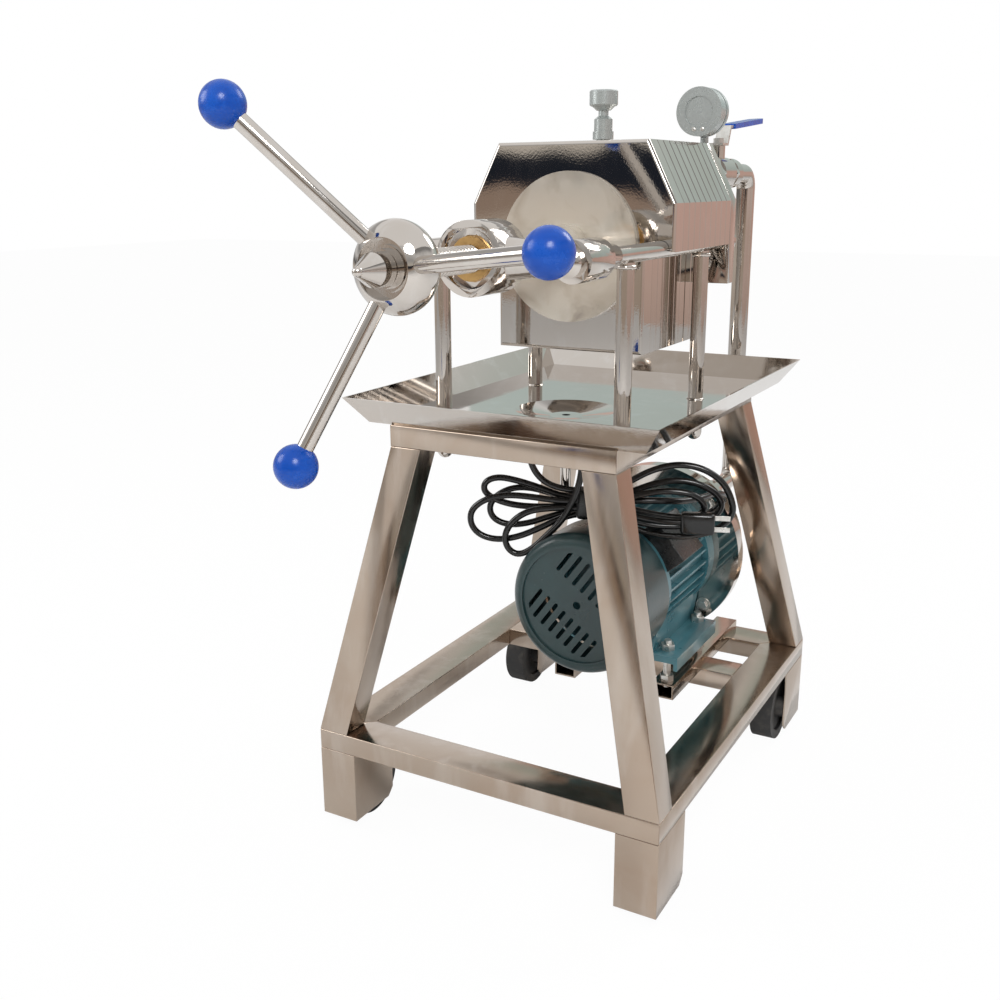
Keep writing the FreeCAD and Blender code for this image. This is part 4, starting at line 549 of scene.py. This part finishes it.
def softened(node, width):
    """A copy of a CAD piece with its sharp edges rounded."""
    shape = bmesh.new()
    shape.from_mesh(NODES[node].data)
    bmesh.ops.remove_doubles(shape, verts=shape.verts[:], dist=1e-6)
    bmesh.ops.dissolve_limit(shape, angle_limit=math.radians(0.5), verts=shape.verts[:], edges=shape.edges[:])
    mesh = bpy.data.meshes.new(node + "_soft")
    shape.to_mesh(mesh)
    shape.free()
    for face in mesh.polygons:
        face.use_smooth = True
    mesh.materials.append(NODES[node].data.materials[0])
    thing = link(bpy.data.objects.new(node + "_soft", mesh))
    edge = thing.modifiers.new("edge", "BEVEL")
    edge.width = width
    edge.segments = 2
    edge.limit_method = "ANGLE"
    edge.angle_limit = math.radians(35)
    edge.harden_normals = True
    return baked(thing)


def body_of(node):
    return next(name for name, body in BODIES.items() if node in body)


def mm(points):
    return [tuple(value / 1000 for value in point) for point in points]


# ---------------------------------------------------------------- power cord

LEAD = mm([
    (112, 145, 340), (112, 164, 340), (117, 182, 344), (130, 193, 354), (145, 192, 368),
    (154, 179, 381), (156, 158, 391), (151, 134, 396), (147, 104, 397),
])
# Loops of the hank in its own upright plane: along it, towards its back, height.
LOOPS = [
    (152, 22, 399), (140, 10, 402), (118, 2, 404), (90, 0, 403), (60, 0, 403), (30, 0, 403), (2, 3, 405),
    (-24, 5, 414), (-52, 5, 422), (-76, 5, 426), (-92, 5, 420), (-95, 5, 408), (-84, 5, 398), (-62, 5, 391),
    (-36, 5, 389), (-8, 3, 391), (22, 0, 394), (60, 0, 394), (92, 0, 392),
    (118, -2, 387), (150, -4, 385), (172, -6, 390), (177, -7, 402), (166, -8, 415), (142, -9, 420),
    (114, -9, 418), (88, -9, 410), (58, -9, 403), (26, -9, 402),
    (-4, -8, 402), (-34, -6, 405), (-64, -5, 406), (-90, -5, 400), (-109, -5, 385), (-110, -5, 366),
    (-98, -5, 352), (-76, -5, 347), (-50, -5, 352), (-24, -4, 364), (2, -2, 378), (28, 0, 385), (62, 0, 384),
    (92, 3, 376), (122, 7, 370), (156, 9, 371), (184, 10, 380), (198, 10, 396), (192, 10, 412),
    (172, 10, 424), (144, 10, 429), (116, 10, 424), (88, 10, 412), (60, 9, 403), (26, 9, 403),
    (-6, 11, 404), (-32, 13, 411), (-58, 14, 411), (-80, 14, 400), (-90, 14, 384), (-84, 14, 368),
    (-64, 14, 361), (-38, 14, 365), (-12, 12, 376), (16, 9, 385), (58, 9, 385),
    (92, 4, 366), (126, 0, 360), (162, -1, 361), (194, -2, 372), (211, -2, 392), (206, -2, 414),
    (194, -2, 434), (170, -1, 448), (140, 0, 451), (110, 0, 442), (84, 0, 426), (56, 0, 413), (26, 0, 413),
    (0, -2, 416), (-18, -4, 424), (-30, -6, 438), (-36, -7, 456), (-30, -8, 474), (-12, -10, 486),
    (10, -13, 484), (25, -17, 470), (30, -19, 450), (27, -20, 428), (20, -20, 406), (8, -19, 382),
    (-10, -17, 362), (-30, -15, 341), (-48, -14, 331), (-62, -14, 339), (-66, -14, 357), (-55, -14, 376),
    (-36, -14, 389), (-12, -12, 393), (18, -9, 394), (56, -10, 393), (92, -15, 388), (122, -22, 385),
    (149, -23, 385),
]
HANK_TURN = math.radians(19.8)


def hank_place(along, back, height):
    """A place in the hank's upright plane, as a place on the machine."""
    return Vector((
        (along * math.cos(HANK_TURN) - back * math.sin(HANK_TURN)) / 1000,
        (2 + along * math.sin(HANK_TURN) + back * math.cos(HANK_TURN)) / 1000,
        height / 1000,
    ))


def power_cord():
    curve = bpy.data.curves.new("power_cord_line", "CURVE")
    curve.dimensions = "3D"
    curve.bevel_depth = 0.004
    curve.bevel_resolution = 4
    curve.resolution_u = 6
    curve.use_fill_caps = True
    spline = curve.splines.new("NURBS")
    places = [Vector(place) for place in LEAD] + [hank_place(*loop) for loop in LOOPS]
    spline.points.add(len(places) - 1)
    for point, place in zip(spline.points, places):
        point.co = (*place, 1)
    spline.order_u = 3
    spline.use_endpoint_u = True
    curve.materials.append(FINISHES["black_rubber"].material)
    cord = link(bpy.data.objects.new("power_cord_flex", curve))
    return finished(cord, "stand", "black_rubber", "power_cord", "cord_hank")


def hank_box(name, along, back, height, finish, bevel):
    """A block with rounded edges in the hank's plane: spans along, back and height."""
    shape = bmesh.new()
    bmesh.ops.create_cube(shape, size=1.0)
    for corner in shape.verts:
        spans = [
            (low + high) / 2 + part * (high - low)
            for part, (low, high) in zip(corner.co, (along, back, height))
        ]
        corner.co = hank_place(*spans)
    bmesh.ops.bevel(shape, geom=shape.edges[:], offset=bevel, segments=3, profile=0.5,
                    affect="EDGES", clamp_overlap=True)
    bmesh.ops.recalc_face_normals(shape, faces=shape.faces)
    return new_mesh(name, shape, finish)


cord = power_cord()
plug_body = hank_box("plug_body", (148, 188), (-31.3, -14.3), (372, 398), "black_rubber", 0.004)
plug_nose = hank_box("plug_grip", (150, 168), (-29, -17), (377, 393), "black_rubber", 0.003)
finished(plug_body, "stand", "black_rubber", "plug")
finished(plug_nose, "stand", "black_rubber")
for i, middle in enumerate((378, 392)):
    pin = hank_box(f"plug_pin_{i}", (186, 206), (-23.6, -22), (middle - 3, middle + 3), "zinc_steel", 0.0004)
    finished(pin, "stand", "zinc_steel")
tie = hank_box("hank_tie", (22, 40), (-15, 14), (379.5, 417), "black_plastic", 0.006)
finished(tie, "stand", "black_plastic")
relief = turned("cord_relief", "black_rubber", [
    (0.0, 0.0085), (0.004, 0.0085), (0.005, 0.0065), (0.013, 0.0062), (0.014, 0.0056),
    (0.022, 0.0053), (0.023, 0.0048), (0.030, 0.0046)], (0.112, 0.1425, 0.340), "y", 24)
finished(relief, "stand", "black_rubber")



# ---------------------------------------------------------------- rounded edges

EDGES = {
    0.0012: ("terminal_box", "motor_feet", "motor_rails", "end_plate"),
    0.0018: ("side_rails", "cross_rails", "top_side_rails", "top_cross_rails", "legs", "wheel_housings"),
    0.0025: ("yoke",),
}


def round_edges():
    slots = {entry["node"]: entry["material_slot"] for entry in frame["record"]["subparts"]}
    for width, nodes in EDGES.items():
        for node in nodes:
            finished(softened(node, width), body_of(node), slots[node], node)


round_edges()


# ---------------------------------------------------------------- press screw

THREAD_PITCH = 0.006
THREAD_DEPTH = 0.0021


class Tree:
    """A Geometry Nodes tree with named inputs, ending in Realize Instances and Set Material."""

    def __init__(self, name, sizes):
        self.group = bpy.data.node_groups.new(name, "GeometryNodeTree")
        face = self.group.interface
        face.new_socket(name="Geometry", in_out="INPUT", socket_type="NodeSocketGeometry")
        self.inputs = {
            label: face.new_socket(name=label, in_out="INPUT", socket_type=kind)
            for label, kind in sizes.items()
        }
        face.new_socket(name="Geometry", in_out="OUTPUT", socket_type="NodeSocketGeometry")
        self.start = self.group.nodes.new("NodeGroupInput")
        self.end = self.group.nodes.new("NodeGroupOutput")

    def size(self, label):
        return self.start.outputs[label]

    def add(self, kind, inputs=None, **settings):
        node = self.group.nodes.new(kind)
        for key, value in settings.items():
            setattr(node, key, value)
        for socket, value in (inputs or {}).items():
            if isinstance(value, bpy.types.NodeSocket):
                self.group.links.new(value, node.inputs[socket])
            else:
                node.inputs[socket].default_value = value
        return node

    def maths(self, operation, *values):
        return self.add("ShaderNodeMath", dict(enumerate(values)), operation=operation).outputs[0]

    def close(self, shape, finish):
        whole = self.add("GeometryNodeRealizeInstances", {0: shape})
        painted = self.add("GeometryNodeSetMaterial", {"Geometry": whole.outputs[0]})
        painted.inputs["Material"].default_value = FINISHES[finish].material
        self.group.links.new(painted.outputs[0], self.end.inputs[0])

    def made(self, name, places, **sizes):
        mesh = bpy.data.meshes.new(name)
        mesh.from_pydata([tuple(place) for place in places], [], [])
        thing = link(bpy.data.objects.new(name, mesh))
        modifier = thing.modifiers.new("tree", "NODES")
        modifier.node_group = self.group
        for label, value in sizes.items():
            modifier[self.inputs[label].identifier] = value
        return baked(thing)


def thread_tree():
    """A bar along Y whose surface is a trapezoid ridge winding up it."""
    tree = Tree("thread", {
        "Radius": "NodeSocketFloat", "Depth": "NodeSocketFloat", "Pitch": "NodeSocketFloat",
        "Length": "NodeSocketFloat", "Steps": "NodeSocketInt"})
    bar = tree.add("GeometryNodeMeshCylinder", {
        "Vertices": 40, "Side Segments": tree.size("Steps"), "Radius": tree.size("Radius"),
        "Depth": tree.size("Length")})
    spot = tree.add("GeometryNodeInputPosition").outputs[0]
    parts = tree.add("ShaderNodeSeparateXYZ", {0: spot}).outputs
    angle = tree.maths("ARCTAN2", parts["Y"], parts["X"])
    turns = tree.maths("SUBTRACT", tree.maths("DIVIDE", parts["Z"], tree.size("Pitch")),
                       tree.maths("DIVIDE", angle, 2 * math.pi))
    flank = tree.maths("MULTIPLY", tree.maths("PINGPONG", turns, 0.5), 4.0)
    ridge = tree.maths("MINIMUM", tree.maths("MAXIMUM", tree.maths("SUBTRACT", flank, 0.5), 0.0), 1.0)
    cut = tree.maths("MULTIPLY", tree.size("Depth"), ridge)
    share = tree.maths("SUBTRACT", 1.0, tree.maths("DIVIDE", cut, tree.size("Radius")))
    place = tree.add("ShaderNodeCombineXYZ", {
        0: tree.maths("MULTIPLY", parts["X"], share), 1: tree.maths("MULTIPLY", parts["Y"], share),
        2: parts["Z"]})
    wound = tree.add("GeometryNodeSetPosition", {"Geometry": bar.outputs["Mesh"], "Position": place.outputs[0]})
    laid = tree.add("GeometryNodeTransform", {"Geometry": wound.outputs[0], "Rotation": (math.pi / 2, 0, 0)})
    bars = tree.add("GeometryNodeInstanceOnPoints", {"Points": tree.start.outputs[0], "Instance": laid.outputs[0]})
    tree.close(bars.outputs[0], "polished_stainless")
    return tree


def press_screw():
    low, high = span("screw")
    collar = span("handwheel")[1].y
    radius = (high.x - low.x) / 2
    centre_z = (high.z + low.z) / 2
    end = high.y - 0.001
    length = end - collar
    thread = thread_tree().made(
        "screw_thread", [(0, (end + collar) / 2, centre_z)], Radius=radius, Depth=THREAD_DEPTH,
        Pitch=THREAD_PITCH, Length=length, Steps=int(length / THREAD_PITCH * 12))
    finished(thread, "screw", "polished_stainless", "screw")
    shank = turned("screw_shank", "polished_stainless", [
        (low.y, 0.0095), (low.y + 0.0005, 0.01), (collar - 0.001, 0.01)], (0, 0, centre_z), "y", 40)
    finished(shank, "screw", "polished_stainless")
    tip = turned("screw_tip", "polished_stainless", [
        (end - 0.002, radius - THREAD_DEPTH), (high.y, radius - THREAD_DEPTH - 0.0005)], (0, 0, centre_z), "y", 40)
    finished(tip, "screw", "polished_stainless")


press_screw()


# ---------------------------------------------------------------- bolts

def bolt_tree():
    """Hexagon heads on round washers, one at each point."""
    tree = Tree("bolts", {
        "Flats": "NodeSocketFloat", "Height": "NodeSocketFloat", "Turn": "NodeSocketVector"})
    corner = tree.maths("DIVIDE", tree.size("Flats"), math.sqrt(3))
    washer = tree.add("GeometryNodeMeshCylinder", {
        "Vertices": 28, "Radius": tree.maths("MULTIPLY", corner, 1.28), "Depth": tree.maths("MULTIPLY", tree.size("Height"), 0.5)})
    body = tree.add("GeometryNodeMeshCylinder", {
        "Vertices": 6, "Radius": corner, "Depth": tree.maths("MULTIPLY", tree.size("Height"), 1.7)})
    crown = tree.add("GeometryNodeMeshCone", {
        "Vertices": 6, "Radius Bottom": corner, "Radius Top": tree.maths("MULTIPLY", corner, 0.82),
        "Depth": tree.maths("MULTIPLY", tree.size("Height"), 0.15)})
    lift = tree.add("ShaderNodeCombineXYZ", {2: tree.maths("MULTIPLY", tree.size("Height"), 0.85)})
    raised = tree.add("GeometryNodeTransform", {"Geometry": crown.outputs["Mesh"], "Translation": lift.outputs[0]})
    head = tree.add("GeometryNodeJoinGeometry")
    for piece in (washer.outputs["Mesh"], body.outputs["Mesh"], raised.outputs[0]):
        tree.group.links.new(piece, head.inputs[0])
    bolts = tree.add("GeometryNodeInstanceOnPoints", {
        "Points": tree.start.outputs[0], "Instance": head.outputs[0], "Rotation": tree.size("Turn")})
    tree.close(bolts.outputs[0], "zinc_steel")
    return tree


BOLTS = bolt_tree()


def ring_of(count, radius, centre, first):
    """Points round an axis along Y."""
    turns = [first + 2 * math.pi * i / count for i in range(count)]
    return [(centre.x + radius * math.sin(turn), centre.y, centre.z + radius * math.cos(turn)) for turn in turns]


def pump_bolts():
    low, high = span("pump_casing")
    front = Vector(((low.x + high.x) / 2, low.y, (low.z + high.z) / 2))
    radius = (high.x - low.x) / 2 - 0.016
    bolts = BOLTS.made("pump_bolts", ring_of(4, radius, front, math.radians(45)),
                       Flats=0.013, Height=0.006, Turn=(math.pi / 2, 0, 0))
    finished(bolts, "stand", "zinc_steel")


def gauge_screws():
    low, high = span("gauge")
    middle = (low.x + high.x) / 2
    heads = BOLTS.made("gauge_screws", [(middle + side * 0.0055, low.y, low.z + 0.0165) for side in (-1, 1)],
                       Flats=0.0036, Height=0.0012, Turn=(math.pi / 2, 0, 0))
    finished(heads, "stand", "zinc_steel")


pump_bolts()
gauge_screws()


# ---------------------------------------------------------------- weld beads

def post_beads():
    """A weld bead round each post, at the tray and under the tie rod."""
    tray = span("drip_tray")[0].z
    low, high = span("support_posts")
    radius = 0.0095
    beads = []
    for x in (low.x + radius, high.x - radius):
        for y in (low.y + radius, high.y - radius):
            for z, size in ((tray + 0.008, 0.0022), (high.z - 0.005, 0.0026)):
                beads.append((x, y, z, size))
    shape = bmesh.new()
    for x, y, z, size in beads:
        rings = []
        for i in range(36):
            turn = 2 * math.pi * i / 36
            wobble = 1 + 0.12 * math.sin(9 * turn)
            reach = radius - 0.0006
            ring = [
                shape.verts.new((
                    x + (reach + size * wobble * math.cos(part)) * math.cos(turn),
                    y + (reach + size * wobble * math.cos(part)) * math.sin(turn),
                    z + size * wobble * math.sin(part)))
                for part in (2 * math.pi * k / 10 for k in range(10))
            ]
            rings.append(ring)
        for i in range(36):
            for k in range(10):
                first, second = rings[i], rings[(i + 1) % 36]
                shape.faces.new((first[k], second[k], second[(k + 1) % 10], first[(k + 1) % 10]))
    bmesh.ops.recalc_face_normals(shape, faces=shape.faces)
    finished(new_mesh("post_welds", shape, "polished_stainless"), "stand", "polished_stainless")


post_beads()
